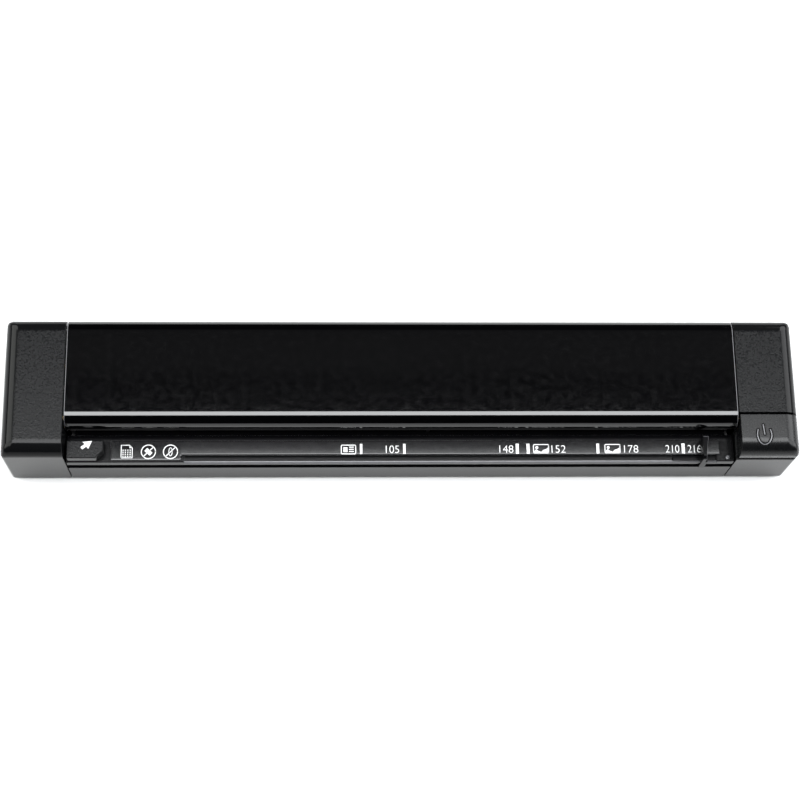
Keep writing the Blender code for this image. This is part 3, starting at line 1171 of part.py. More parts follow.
def motor(bracket_end):
    """The bracket on its three legs, the motor behind it and the motor's cable."""
    bracket_start = bracket_end - BRACKET_THICK
    low, high = BRACKET_LOW, BRACKET_HIGH
    bracket = box("motor_bracket", (bracket_start, *low), (bracket_end, *high), "steel")
    for place in BRACKET_LEGS:
        join(bracket, rod("bracket_leg", (bracket_end - BRACKET_THICK / 2, *place),
                          (-(FRAME_X + SEAT), *place), BRACKET_LEG_RADIUS, SMALL_SIDES))
    pin_bore = PIN_RADIUS + RUNNING_CLEARANCE
    for place, radius in ((IDLER_AT, pin_bore), (COMPOUND_AT, pin_bore),
                          (MOTOR_AT, MOTOR_BOSS_RADIUS + SEAT)):
        cut(bracket, rod("bracket_hole", (bracket_start - OVERRUN, *place), (bracket_end + OVERRUN, *place),
                         radius, FINE_SIDES))
    front = bracket_start - SEAT
    body = rod("motor_body", (front - MOTOR_LENGTH, *MOTOR_AT), (front, *MOTOR_AT),
               MOTOR_RADIUS, FINE_SIDES, "steel")
    join(body, rod("motor_boss", (front - SEAT, *MOTOR_AT), (bracket_end - SEAT, *MOTOR_AT),
                   MOTOR_BOSS_RADIUS))
    terminal_x = front - MOTOR_LENGTH + TERMINAL_INSET
    terminal_y = MOTOR_CABLE_Y - MOTOR_CABLE_WIDTH / 2
    join(body, box("terminal", (terminal_x, terminal_y, MOTOR_AT[1] - TERMINAL_HALF),
                   (terminal_x + TERMINAL_LENGTH, MOTOR_AT[0], MOTOR_AT[1] + TERMINAL_HALF)))
    shaft_start = front - SHAFT_SUNK
    cut(body, rod("rotor_bore", (shaft_start - SEAT, *MOTOR_AT), (bracket_end + OVERRUN, *MOTOR_AT),
                  MOTOR_SHAFT_RADIUS + RUNNING_CLEARANCE, FINE_SIDES))
    strip("motor_cable", [(terminal_x + TERMINAL_LENGTH / 2, MOTOR_AT[1] - TERMINAL_HALF - SEAT),
                          (terminal_x + TERMINAL_LENGTH / 2, MOTOR_CABLE_Z), (SOCKET_X, MOTOR_CABLE_Z),
                          (SOCKET_X, SOCKET_BOTTOM - SEAT)], MOTOR_CABLE_Y, MOTOR_CABLE_WIDTH)


def strip(name, points, y, width):
    """A flat cable: an open band through points across X and Z, made thick by Solidify."""
    mesh = bpy.data.meshes.new(name)
    cage = bmesh.new()
    rows = [[cage.verts.new((x, y + way * width / 2, z)) for way in (-1, 1)] for x, z in points]
    for near, far in zip(rows, rows[1:]):
        cage.faces.new((near[0], far[0], far[1], near[1]))
    cage.to_mesh(mesh)
    cage.free()
    thing = from_mesh(name, mesh, "cable_white")
    thick = thing.modifiers.new("thickness", "SOLIDIFY")
    thick.thickness = CABLE_THICK
    thick.offset = 0
    thick.use_even_offset = True
    return thing


def main_board():
    """The board on its posts in the right cap, and what is soldered to it."""
    board_bottom = BOARD_TOP - BOARD_THICK
    low = (BOARD_MID_X - BOARD_WIDTH / 2, MID_Y - BOARD_LENGTH / 2, board_bottom)
    high = (BOARD_MID_X + BOARD_WIDTH / 2, MID_Y + BOARD_LENGTH / 2, BOARD_TOP)
    board = box("main_board", low, high, "board_green")
    for x, y in board_posts():
        cut(board, rod("board_hole", (x, y, board_bottom - OVERRUN), (x, y, BOARD_TOP + OVERRUN),
                       PEG_RADIUS + SCREW_CLEAR, SMALL_SIDES))
    for place, share in CHIP_SHARES:
        y, half = MID_Y + BOARD_LENGTH * place, BOARD_LENGTH * share / 2
        join(board, box("chip", (BOARD_MID_X - half, y - half, BOARD_TOP - BOARD_THICK / 2),
                        (BOARD_MID_X + half, y + half, BOARD_TOP + CHIP_HEIGHT)))
    for y, width in ((MOTOR_CABLE_Y, MOTOR_CABLE_WIDTH), (RIBBON_Y, RIBBON_WIDTH)):
        join(board, box("socket", (SOCKET_X - SOCKET_SIZE / 2, y - width / 2 + SEAT, SOCKET_BOTTOM),
                        (SOCKET_X + SOCKET_SIZE / 2, y + width / 2 - SEAT, BOARD_TOP - BOARD_THICK / 2)))
    seat = BOARD_TOP + SEAT
    half = SWITCH_SIDE / 2
    switch = box("tact_switch", (STEM_AT_X - half, STEM_AT_Y - half, seat),
                 (STEM_AT_X + half, STEM_AT_Y + half, seat + SWITCH_HEIGHT), "chip_black")
    plunger_low = seat + SWITCH_HEIGHT - PLUNGER_SUNK
    cut(switch, rod("plunger_hole", (STEM_AT_X, STEM_AT_Y, plunger_low - BUTTON_TRAVEL - SEAT),
                    (STEM_AT_X, STEM_AT_Y, seat + SWITCH_HEIGHT + OVERRUN),
                    PLUNGER_RADIUS + RUNNING_CLEARANCE, FINE_SIDES))
    rod("switch_plunger", (STEM_AT_X, STEM_AT_Y, plunger_low),
        (STEM_AT_X, STEM_AT_Y, plunger_low + PLUNGER_HEIGHT), PLUNGER_RADIUS, FINE_SIDES, "white_plastic")
    usb_socket(seat)
    strip("sensor_ribbon", [(SENSOR_END - RIBBON_OVERLAP, RIBBON_Z), (SOCKET_X, RIBBON_Z),
                            (SOCKET_X, SOCKET_BOTTOM - SEAT)], RIBBON_Y, RIBBON_WIDTH)


def usb_socket(seat):
    back = BACK - USB_BACK_GAP
    low = (BOARD_MID_X - USB_WIDTH / 2, back - USB_LENGTH, seat)
    high = (BOARD_MID_X + USB_WIDTH / 2, back, seat + USB_HEIGHT)
    shell = box("usb_socket", low, high, "steel")
    cut(shell, box("usb_mouth", (low[0] + USB_WALL, low[1] + USB_WALL, low[2] + USB_WALL),
                   (high[0] - USB_WALL, back + OVERRUN, high[2] - USB_WALL)))


def paper_sensor():
    """The flag that the paper tips back, on its axle, and the forked detector round its tail."""
    flag_half = FLAG_WIDTH / 2
    tip_z = BED_TOP + FLAG_TIP_RISE
    ring = [(FLAG_Y - flag_half, FLAG_Z - FLAG_TAIL), (FLAG_Y + flag_half, FLAG_Z - FLAG_TAIL)]
    ring += [(FLAG_Y + flag_half, FLAG_Z)]
    ring += [(FLAG_Y + FLAG_TIP_BACK + flag_half / 2, tip_z), (FLAG_Y + FLAG_TIP_BACK - flag_half / 2, tip_z)]
    ring += [(FLAG_Y - flag_half, FLAG_Z)]
    flag = outline("sensor_flag", [ring], "X", FLAG_X - FLAG_THICK / 2, FLAG_X + FLAG_THICK / 2, "chip_black")
    join(flag, rod("flag_axle", (FLAG_X - FLAG_AXLE_LENGTH / 2, FLAG_Y, FLAG_Z),
                   (FLAG_X + FLAG_AXLE_LENGTH / 2, FLAG_Y, FLAG_Z), FLAG_AXLE_RADIUS, FINE_SIDES))
    set_origin(flag, (FLAG_X, FLAG_Y, FLAG_Z))
    half_x, half_y = DETECTOR_GAP / 2 + DETECTOR_WALL, DETECTOR_DEPTH / 2
    top = FLAG_Z - FLAG_TAIL + DETECTOR_OVERLAP
    detector = box("paper_detector", (FLAG_X - half_x, FLAG_Y - half_y - DETECTOR_SHIFT, FLOOR_TOP + SEAT),
                   (FLAG_X + half_x, FLAG_Y + half_y - DETECTOR_SHIFT, top), "chip_black")
    gap_low = top - DETECTOR_OVERLAP * 2
    cut(detector, box("detector_gap", (FLAG_X - DETECTOR_GAP / 2, FLAG_Y - DETECTOR_DEPTH, gap_low),
                      (FLAG_X + DETECTOR_GAP / 2, FLAG_Y + DETECTOR_DEPTH, top + OVERRUN)))


def build():
    clear_scene()
    make_materials()
    end_cap("left_end_cap", -1)
    right_cap_details(end_cap("right_end_cap", 1))
    top_cover()
    bottom_case()
    rubber_feet()
    feed_shelf()
    marking_panel()
    light_pipe()
    paper_stop()
    paper_guide()
    power_button()
    button_spring()
    side_frame("left_side_frame", -1)
    side_frame("right_side_frame", 1)
    bushes()
    for name, y in (("feed", FEED_Y), ("exit", EXIT_Y)):
        roller_shaft(name + "_roller_shaft", y)
        roller_rubber(name + "_roller_rubber", y)
        pinch_roller(name + "_pinch_roller", y)
    lower_bed()
    upper_guide()
    pinch_leaves()
    backing_bar()
    image_sensor()
    gear_train()
    main_board()
    paper_sensor()
    for number, (x, y) in enumerate(case_screw_places(), 1):
        machine_screw(f"case_screw_{number}", x, y, BASE + CASE_WALL - RECESS_FLOOR - SCREW_CLEAR)
    for name, side in (("left_cap_screw", -1), ("right_cap_screw", 1)):
        machine_screw(name, side * (MID_END + CAP_SCREW_REACH), CAP_SCREW_Y,
                      BASE + CAP_WALL - RECESS_FLOOR - SCREW_CLEAR)


build()
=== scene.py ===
import json
import math

import bmesh
import bpy
from mathutils import Matrix, Vector

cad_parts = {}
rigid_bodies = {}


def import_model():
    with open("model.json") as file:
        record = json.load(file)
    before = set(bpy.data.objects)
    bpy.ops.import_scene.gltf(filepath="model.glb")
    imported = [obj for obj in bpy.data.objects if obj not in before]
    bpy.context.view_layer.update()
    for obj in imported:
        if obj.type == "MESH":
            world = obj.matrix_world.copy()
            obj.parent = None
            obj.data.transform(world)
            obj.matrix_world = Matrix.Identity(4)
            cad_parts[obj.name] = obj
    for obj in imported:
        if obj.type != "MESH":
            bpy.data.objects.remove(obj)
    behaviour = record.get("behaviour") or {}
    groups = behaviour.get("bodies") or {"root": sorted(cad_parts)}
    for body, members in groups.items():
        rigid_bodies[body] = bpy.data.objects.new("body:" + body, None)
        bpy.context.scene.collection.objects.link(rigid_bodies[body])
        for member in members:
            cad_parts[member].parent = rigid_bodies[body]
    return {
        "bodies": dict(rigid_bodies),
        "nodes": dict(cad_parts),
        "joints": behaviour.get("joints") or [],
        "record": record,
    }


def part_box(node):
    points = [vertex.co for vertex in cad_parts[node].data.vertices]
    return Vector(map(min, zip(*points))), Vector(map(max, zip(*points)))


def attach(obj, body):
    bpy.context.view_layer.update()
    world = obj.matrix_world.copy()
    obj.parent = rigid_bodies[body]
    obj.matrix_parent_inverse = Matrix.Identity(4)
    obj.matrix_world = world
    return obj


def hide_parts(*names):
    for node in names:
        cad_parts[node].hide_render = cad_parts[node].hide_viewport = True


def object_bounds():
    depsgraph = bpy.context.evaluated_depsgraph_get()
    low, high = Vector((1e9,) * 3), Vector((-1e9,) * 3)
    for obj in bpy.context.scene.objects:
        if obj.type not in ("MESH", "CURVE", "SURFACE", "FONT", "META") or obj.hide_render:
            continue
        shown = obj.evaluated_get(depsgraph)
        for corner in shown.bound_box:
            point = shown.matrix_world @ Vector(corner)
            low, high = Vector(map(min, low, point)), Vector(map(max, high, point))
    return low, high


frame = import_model()
cad_low, cad_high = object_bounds()
nodes = frame["nodes"]

# Sizes that the CAD nodes' boxes give
cap_low, cap_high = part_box("left_end_cap")
cover_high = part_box("top_cover")[1]
shelf_low, shelf_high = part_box("feed_shelf")
panel_low, panel_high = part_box("marking_panel")
stop_low, stop_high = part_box("paper_stop")
guide_low, guide_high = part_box("paper_guide")
button_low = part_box("power_button")[0]
light_low, light_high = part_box("light_pipe")

# Rounds, walls and gaps, in metres
EDGE_ROUND = 0.0058
FRONT_ROUND = 0.0050
SMALL_ROUND = 0.0014
WALL = 0.0018
RIM = 0.00035
CASE_RIM = 0.00022
FINE = 0.00014
GAP = 0.0003
OVERRUN = 0.001
TINY = 0.00001

# Segments in a round, the least angle of an edge that counts as sharp, and the angle of a flat one
STEPS = 12
ARC_STEPS = 20
SHARP = 38
FLAT = 0.2

FRONT, BACK = cap_low.y, cap_high.y
BASE, HEIGHT = cap_low.z, cap_high.z
CAP_FACE = -cap_high.x
SHELF_TOP = shelf_high.z

scene = bpy.context.scene
shown = bpy.data.collections.new("dressed")
scene.collection.children.link(shown)


def update():
    """Brings the scene up to date and returns its evaluated state."""
    bpy.context.view_layer.update()
    return bpy.context.evaluated_depsgraph_get()


def new_object(name, mesh):
    thing = bpy.data.objects.new(name, mesh)
    shown.objects.link(thing)
    return thing


def from_cage(name, cage):
    """Makes an object of a bmesh, which is used up."""
    mesh = bpy.data.meshes.new(name)
    cage.to_mesh(mesh)
    cage.free()
    return new_object(name, mesh)


def box(name, low, high):
    """A box between two corners."""
    cage = bmesh.new()
    low, high = Vector(low), Vector(high)
    place = Matrix.Translation((low + high) / 2) @ Matrix.Diagonal((*(high - low), 1.0))
    bmesh.ops.create_cube(cage, size=1.0, matrix=place)
    return from_cage(name, cage)


def rod(name, start, end, radius, sides=32):
    """A cylinder between two points."""
    start, end = Vector(start), Vector(end)
    turn = (end - start).to_track_quat("Z", "Y").to_matrix().to_4x4()
    place = Matrix.Translation((start + end) / 2) @ turn
    cage = bmesh.new()
    bmesh.ops.create_cone(cage, cap_ends=True, segments=sides, radius1=radius, radius2=radius,
                          depth=(end - start).length, matrix=place)
    return from_cage(name, cage)


def arc(centre, radius, start, end, steps=ARC_STEPS):
    """Points on an arc between two angles in degrees."""
    angles = [math.radians(start + (end - start) * step / steps) for step in range(steps + 1)]
    return [(centre[0] + radius * math.cos(a), centre[1] + radius * math.sin(a)) for a in angles]


AXES = {
    "X": Matrix(((0, 0, 1), (1, 0, 0), (0, 1, 0))),
    "Z": Matrix.Identity(3),
}


def prism(name, ring, axis, start, end):
    """A closed prism: the ring of points drawn across an axis, from start to end."""
    turn = AXES[axis]
    cage = bmesh.new()
    layers = [[cage.verts.new(turn @ Vector((a, b, place))) for a, b in ring] for place in (start, end)]
    cage.faces.new(layers[0][::-1])
    cage.faces.new(layers[1])
    count = len(ring)
    for i in range(count):
        j = (i + 1) % count
        cage.faces.new((layers[0][i], layers[0][j], layers[1][j], layers[1][i]))
    bmesh.ops.recalc_face_normals(cage, faces=cage.faces)
    return from_cage(name, cage)


def applied(thing):
    """Turns an object's modifiers into its mesh and removes them."""
    mesh = bpy.data.meshes.new_from_object(thing.evaluated_get(update()))
    mesh.transform(thing.matrix_world)
    thing.matrix_world = Matrix.Identity(4)
    thing.modifiers.clear()
    thing.data = mesh
    return thing


def combined(thing, operation, *others):
    """Cuts, joins or intersects a piece with others, which are used up."""
    for other in others:
        change = thing.modifiers.new(other.name, "BOOLEAN")
        change.operation = operation
        change.object = other
        change.solver = "EXACT"
    applied(thing)
    for other in others:
        bpy.data.objects.remove(other)
    return thing


def cut(thing, *others):
    return combined(thing, "DIFFERENCE", *others)


def join(thing, *others):
    return combined(thing, "UNION", *others)


def soften(thing, width, steps=3, angle=SHARP, keep=None, rim=None):
    """Rounds the sharp edges that keep allows; the new faces that rim allows get the second material."""
    cage = bmesh.new()
    cage.from_mesh(thing.data)
    bmesh.ops.remove_doubles(cage, verts=cage.verts, dist=TINY / 2)
    bmesh.ops.dissolve_limit(cage, angle_limit=math.radians(FLAT), verts=cage.verts, edges=cage.edges)
    bmesh.ops.dissolve_degenerate(cage, dist=TINY / 2, edges=cage.edges)
    limit = math.radians(angle)
    sharp = [e for e in cage.edges if e.is_manifold and e.calc_face_angle(0) > limit]
    if keep:
        sharp = [e for e in sharp if keep((e.verts[0].co + e.verts[1].co) / 2)]
    if width:
        made = bmesh.ops.bevel(cage, geom=sharp, offset=width, offset_type="OFFSET", segments=steps,
                               profile=0.5, affect="EDGES", clamp_overlap=True)
        for face in made["faces"]:
            if rim and rim(face.calc_center_median()):
                face.material_index = 1
    cage.to_mesh(thing.data)
    cage.free()
    return smooth(thing, angle)


def edge_bevel(thing, name, width, angle):
    """A bevel modifier for the edges that are sharper than an angle in degrees."""
    bevel = thing.modifiers.new(name, "BEVEL")
    bevel.width, bevel.segments = width, 2
    bevel.limit_method, bevel.angle_limit = "ANGLE", math.radians(angle)
    return bevel


def smooth(thing, angle=SHARP):
    """Smooth shading that keeps the sharp edges."""
    thing.data.shade_smooth()
    thing.data.set_sharp_from_angle(angle=math.radians(angle))
    weight = thing.modifiers.new("even_shading", "WEIGHTED_NORMAL")
    weight.keep_sharp = True
    return thing


def rounded(name, low, high, width_at, widest, steps=STEPS):
    """A box with a round of its own on each edge; width_at gets the edge's middle from the centre."""
    thing = box(name, low, high)
    middle = (Vector(low) + Vector(high)) / 2
    cage = bmesh.new()
    cage.from_mesh(thing.data)
    weights = cage.edges.layers.float.new("bevel_weight_edge")
    for edge in cage.edges:
        edge[weights] = width_at((edge.verts[0].co + edge.verts[1].co) / 2 - middle) / widest
    cage.to_mesh(thing.data)
    cage.free()
    bevel = thing.modifiers.new("edges", "BEVEL")
    bevel.width = widest
    bevel.limit_method = "WEIGHT"
    bevel.segments = steps
    thing.modifiers.new("flat_faces", "TRIANGULATE")
    return applied(thing)


def dress(thing, finish, body="scanner_body", node=None, rim=None):
    """Gives a piece its materials, its body and the CAD node that it stands for."""
    indexes = [face.material_index if rim else 0 for face in thing.data.polygons]
    thing.data.materials.clear()
    thing.data.materials.append(looks[finish])
    if rim:
        thing.data.materials.append(looks[rim])
    for face, index in zip(thing.data.polygons, indexes):
        face.material_index = index
    if node:
        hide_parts(node)
    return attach(thing, body)


# Materials, by name
looks = {}


# The upward part of a normal where a face stops being slanted and where it is level
UP_FROM = 0.975
UP_TO = 0.998


class Look:
    """A procedural material with a Principled shader, built from a few named parts."""

    def __init__(self, name, colour, roughness, metallic=0.0, **sockets):
        self.material = bpy.data.materials.new("look_" + name)
        self.material.use_nodes = True
        self.tree = self.material.node_tree
        self.shader = self.tree.nodes["Principled BSDF"]
        self.coords = self.node("ShaderNodeTexCoord").outputs["Object"]
        self.shader.inputs["Base Color"].default_value = (*colour, 1)
        self.shader.inputs["Roughness"].default_value = roughness
        self.shader.inputs["Metallic"].default_value = metallic
        for socket, value in sockets.items():
            self.shader.inputs[socket.replace("_", " ")].default_value = value
        self.normal = None
        looks[name] = self.material

    def node(self, kind, **settings):
        made = self.tree.nodes.new(kind)
        for key, value in settings.items():
            setattr(made, key, value)
        return made

    def link(self, output, socket):
        self.tree.links.new(output, socket)

    def stretched(self, x, y, z):
        mapping = self.node("ShaderNodeMapping")
        self.link(self.coords, mapping.inputs["Vector"])
        mapping.inputs["Scale"].default_value = (x, y, z)
        return mapping.outputs["Vector"]

    def noise(self, scale, detail=3.0, rough=0.55, coords=None):
        made = self.node("ShaderNodeTexNoise")
        self.link(coords or self.coords, made.inputs["Vector"])
        made.inputs["Scale"].default_value = scale
        made.inputs["Detail"].default_value = detail
        made.inputs["Roughness"].default_value = rough
        return made.outputs["Fac"]

    def cells(self, scale):
        made = self.node("ShaderNodeTexVoronoi", feature="SMOOTH_F1")
        self.link(self.coords, made.inputs["Vector"])
        made.inputs["Scale"].default_value = scale
        return made.outputs["Distance"]

    def waves(self, scale, direction="X", distortion=0.0):
        made = self.node("ShaderNodeTexWave", wave_type="BANDS", bands_direction=direction)
        self.link(self.coords, made.inputs["Vector"])
        made.inputs["Scale"].default_value = scale
        made.inputs["Distortion"].default_value = distortion
        made.inputs["Detail"].default_value = 1.0
        return made.outputs["Fac"]

    def ranged(self, value, low, high, from_low=0.3, from_high=0.7):
        made = self.node("ShaderNodeMapRange")
        self.link(value, made.inputs["Value"])
        for socket, number in zip(("From Min", "From Max", "To Min", "To Max"),
                                  (from_low, from_high, low, high)):
            made.inputs[socket].default_value = number
        return made.outputs["Result"]

    def mixed(self, value, first, second):
        """A base colour that goes from the first to the second with a value."""
        made = self.node("ShaderNodeMix", data_type="RGBA")
        self.link(value, made.inputs[0])
        made.inputs[6].default_value = (*first, 1)
        made.inputs[7].default_value = (*second, 1)
        self.link(made.outputs[2], self.shader.inputs["Base Color"])

    def rough(self, value, low, high, from_low=0.3, from_high=0.7):
        self.link(self.ranged(value, low, high, from_low, from_high), self.shader.inputs["Roughness"])

    def facing_up(self, slanted=0.0, level=1.0):
        """A value that is level on faces that point straight up and slanted on all others."""
        parts = self.node("ShaderNodeSeparateXYZ")
        self.link(self.node("ShaderNodeTexCoord").outputs["Normal"], parts.inputs["Vector"])
        return self.ranged(parts.outputs["Z"], slanted, level, UP_FROM, UP_TO)

    def sum_of_product(self, base, first, second):
        """The base with the product of the other two added to it."""
        made = self.node("ShaderNodeMath", operation="MULTIPLY_ADD")
        for socket, value in zip(made.inputs, (first, second, base)):
            self.link(value, socket)
        return made.outputs["Value"]

    def bump(self, height, distance, strength=1.0, where=None):
        made = self.node("ShaderNodeBump")
        made.inputs["Strength"].default_value = strength
        if where:
            self.link(where, made.inputs["Strength"])
        made.inputs["Distance"].default_value = distance
        self.link(height, made.inputs["Height"])
        if self.normal:
            self.link(self.normal, made.inputs["Normal"])
        self.normal = made.outputs["Normal"]
        self.link(self.normal, self.shader.inputs["Normal"])


def make_looks():
    look = Look("textured_black", (0.0018, 0.0019, 0.0021), 0.26, IOR=1.188)
    grain = look.noise(2100, 2.0, 0.6)
    look.mixed(look.noise(90, 3.0), (0.0015, 0.0016, 0.0018), (0.0021, 0.0022, 0.0024))
    pebble = look.ranged(look.noise(1500, 1.0, 0.5), 0.0, 1.0, 0.38, 0.62)
    rough = look.sum_of_product(look.facing_up(0.14, 0.200), pebble, look.facing_up(0.0, 0.20))
    look.link(rough, look.shader.inputs["Roughness"])
    look.bump(grain, 0.00006, 0.55, look.facing_up(0.04, 0.85))
    look.bump(look.cells(1400), 0.00005, 0.45, look.facing_up(0.02, 0.50))

    look = Look("gloss_black", (0.0010, 0.0010, 0.0011), 0.07, IOR=1.45)
    look.mixed(look.noise(60, 2.0), (0.0002, 0.0002, 0.0003), (0.0004, 0.0004, 0.0005))
    look.rough(look.noise(400, 4.0, 0.65), 0.05, 0.10)
    look.bump(look.noise(140, 1.0), 0.00002, 0.05)

    look = Look("button_black", (0.0018, 0.0019, 0.0021), 0.28, IOR=1.27)
    look.mixed(look.noise(90, 3.0), (0.0015, 0.0016, 0.0018), (0.0021, 0.0022, 0.0024))
    look.rough(look.noise(700, 2.0), 0.25, 0.30)
    look.bump(look.noise(2600, 2.0), 0.000005, 0.05)

    look = Look("panel_black", (0.0015, 0.0016, 0.0018), 0.10, IOR=1.37)
    look.mixed(look.noise(90, 3.0), (0.0012, 0.0013, 0.0015), (0.0019, 0.0020, 0.0022))
    look.rough(look.noise(700, 2.0), 0.070, 0.085)
    look.bump(look.noise(1500, 2.0), 0.00001, 0.15)

    # Painted shade: an almost black, weakly reflecting material that darkens the floor of the power
    # symbol's groove, standing in for the shade in it
    look = Look("painted_groove_shade", (0.0008, 0.0008, 0.0009), 0.5, IOR=1.10)
    look.mixed(look.noise(300, 2.0), (0.0006, 0.0006, 0.0007), (0.0012, 0.0012, 0.0013))
    look.rough(look.noise(900, 2.0), 0.45, 0.60)
    look.bump(look.noise(2600, 2.0), 0.00001, 0.3)

    # Painted highlight: a grey much lighter than the black plastics, put on rims and edges to stand in
    # for the highlight lines that they catch
    look = Look("painted_edge_highlight", (0.06, 0.06, 0.063), 0.35, IOR=1.40)
    look.mixed(look.noise(500, 3.0), (0.045, 0.045, 0.048), (0.075, 0.075, 0.080))
    look.rough(look.noise(1500, 2.0), 0.28, 0.42)
    look.bump(look.noise(2600, 2.0), 0.00001, 0.3)

    look = Look("white_ink", (0.45, 0.45, 0.45), 0.45)
    look.mixed(look.noise(900, 3.0), (0.33, 0.33, 0.33), (0.38, 0.38, 0.38))
    look.rough(look.noise(1800, 2.0), 0.38, 0.52)
    look.bump(look.noise(3600, 2.0), 0.00001, 0.3)

    look = Look("black_steel", (0.010, 0.010, 0.011), 0.45, IOR=1.40)
    along = look.stretched(25, 1400, 1400)
    look.mixed(look.noise(1.0, 3.0, coords=along), (0.008, 0.008, 0.009), (0.014, 0.014, 0.015))
    look.rough(look.noise(1.0, 3.0, coords=along), 0.38, 0.55)
    look.bump(look.noise(1.6, 2.0, coords=along), 0.00001, 0.4)

    look = Look("satin_black", (0.0010, 0.0010, 0.0012), 0.11, IOR=1.17)
    look.mixed(look.noise(120, 3.0), (0.0008, 0.0008, 0.0010), (0.0013, 0.0013, 0.0015))
    look.rough(look.noise(1100, 2.0), 0.07, 0.10)
    look.bump(look.noise(3200, 2.0), 0.00002, 0.35)

    look = Look("guide_black", (0.0010, 0.0010, 0.0012), 0.14, IOR=1.11)
    look.mixed(look.noise(120, 3.0), (0.0008, 0.0008, 0.0010), (0.0013, 0.0013, 0.0015))
    look.rough(look.noise(1100, 2.0), 0.10, 0.15)
    look.bump(look.noise(3200, 2.0), 0.00002, 0.35)

    look = Look("inner_plastic", (0.05, 0.05, 0.052), 0.5)
    look.mixed(look.noise(150, 3.0), (0.045, 0.045, 0.048), (0.06, 0.06, 0.063))
    look.rough(look.noise(700), 0.42, 0.58)
    look.bump(look.noise(2600, 2.0), 0.00003, 0.4)

    look = Look("white_plastic", (0.80, 0.80, 0.78), 0.4)
    look.mixed(look.noise(200, 3.0), (0.76, 0.76, 0.74), (0.84, 0.84, 0.82))
    look.rough(look.noise(800), 0.34, 0.46)
    look.bump(look.noise(2600, 2.0), 0.00002, 0.25)

    look = Look("gear_plastic", (0.78, 0.76, 0.68), 0.38)
    look.mixed(look.noise(300, 3.0), (0.74, 0.72, 0.63), (0.82, 0.80, 0.73))
    look.rough(look.waves(900, "X"), 0.32, 0.45, 0.0, 1.0)
    look.bump(look.noise(1800, 2.0), 0.00002, 0.3)

    look = Look("steel", (0.60, 0.60, 0.61), 0.28, 1.0)
    along = look.stretched(25, 1400, 1400)
    look.mixed(look.noise(1.0, 3.0, coords=along), (0.52, 0.52, 0.53), (0.68, 0.68, 0.69))
    look.rough(look.noise(1.0, 3.0, coords=along), 0.20, 0.38)
    look.bump(look.noise(1.6, 2.0, coords=along), 0.00001, 0.4)

    look = Look("brass", (0.80, 0.60, 0.30), 0.25, 1.0)
    look.mixed(look.noise(500, 3.0), (0.74, 0.54, 0.26), (0.86, 0.66, 0.36))
    look.rough(look.waves(1500, "X"), 0.18, 0.32, 0.0, 1.0)
    look.bump(look.waves(1500, "X"), 0.00001, 0.3)

    look = Look("rubber", (0.022, 0.022, 0.023), 0.8)
    look.mixed(look.noise(250, 4.0), (0.018, 0.018, 0.019), (0.032, 0.032, 0.033))
    look.rough(look.noise(900), 0.70, 0.88)
    look.bump(look.noise(1600, 3.0), 0.00006, 0.5)

    look = Look("roller_rubber", (0.10, 0.10, 0.105), 0.75)
    look.mixed(look.noise(220, 4.0), (0.085, 0.085, 0.09), (0.125, 0.125, 0.13))
    look.rough(look.noise(1200), 0.62, 0.85)
    look.bump(look.noise(2600, 3.0), 0.00005, 0.6)

    look = Look("board_green", (0.015, 0.13, 0.05), 0.35)
    tracks = look.waves(260, "Y", 3.0)
    look.mixed(look.ranged(tracks, 0.0, 1.0, 0.55, 0.60), (0.010, 0.10, 0.038), (0.030, 0.20, 0.080))
    look.rough(look.noise(600), 0.28, 0.42)
    look.bump(tracks, 0.00003, 0.4)

    look = Look("chip_black", (0.014, 0.014, 0.015), 0.5)
    look.mixed(look.noise(400, 3.0), (0.011, 0.011, 0.012), (0.020, 0.020, 0.021))
    look.rough(look.noise(1500), 0.42, 0.60)
    look.bump(look.noise(4000, 2.0), 0.00001, 0.5)

    look = Look("glass", (0.70, 0.82, 0.80), 0.03, IOR=1.5, Transmission_Weight=0.85)
    look.mixed(look.noise(40, 2.0), (0.68, 0.80, 0.78), (0.74, 0.86, 0.84))
    look.rough(look.noise(900, 3.0), 0.01, 0.05)
    look.bump(look.noise(70, 1.0), 0.00001, 0.05)

    look = Look("cable_white", (0.78, 0.78, 0.76), 0.5)
    cores = look.waves(640, "Y")
    look.mixed(look.ranged(cores, 0.0, 1.0, 0.1, 0.4), (0.60, 0.60, 0.59), (0.82, 0.82, 0.80))
    look.rough(look.noise(700), 0.42, 0.58)
    look.bump(cores, 0.00008, 0.5)

    look = Look("light_lens", (0.020, 0.021, 0.023), 0.12, IOR=1.40, Transmission_Weight=0.25)
    look.mixed(look.noise(700, 2.0), (0.016, 0.017, 0.019), (0.026, 0.027, 0.030))
    look.rough(look.noise(1200, 2.0), 0.08, 0.18)
    look.bump(look.noise(900, 1.0), 0.00002, 0.1)


make_looks()

# Every CAD node gets the finer material of its slot
for node in nodes.values():
    for index, held in enumerate(node.material_slots):
        name = held.material.name.split(".")[0] if held.material else ""
        if name in looks:
            node.material_slots[index].material = looks[name]


# End caps: the button's space, the way into the body, screw holes, inner walls and USB hole
BUTTON_FLOOR = 0.0260
BUTTON_WALL_Y = -0.0105
BUTTON_BACK = -0.0113
BUTTON_BOTTOM = 0.0275
OPENING_FRONT = 0.0116
OPENING_BACK = 0.0037
OPENING_TOP = 0.0035
OPENING_DEPTH = 0.003
SCREW_WAY = 0.0010
SCREW_WAY_DEPTH = 0.003
SCREW_RECESS = 0.0019
SCREW_RECESS_DEPTH = 0.0012
FLOOR_ROUND = 0.0011
CAP_WALL = 0.002
INNER_WALL = 0.0015
LET_IN = 0.0002
STEP_BACK = 0.0001
USB_DEPTH = 0.003
USB_GAP_HIGH = 0.0004
USB_NEAR_X = 0.02
USB_NEAR_Y = 0.0004
HOLE_SIDES = 24


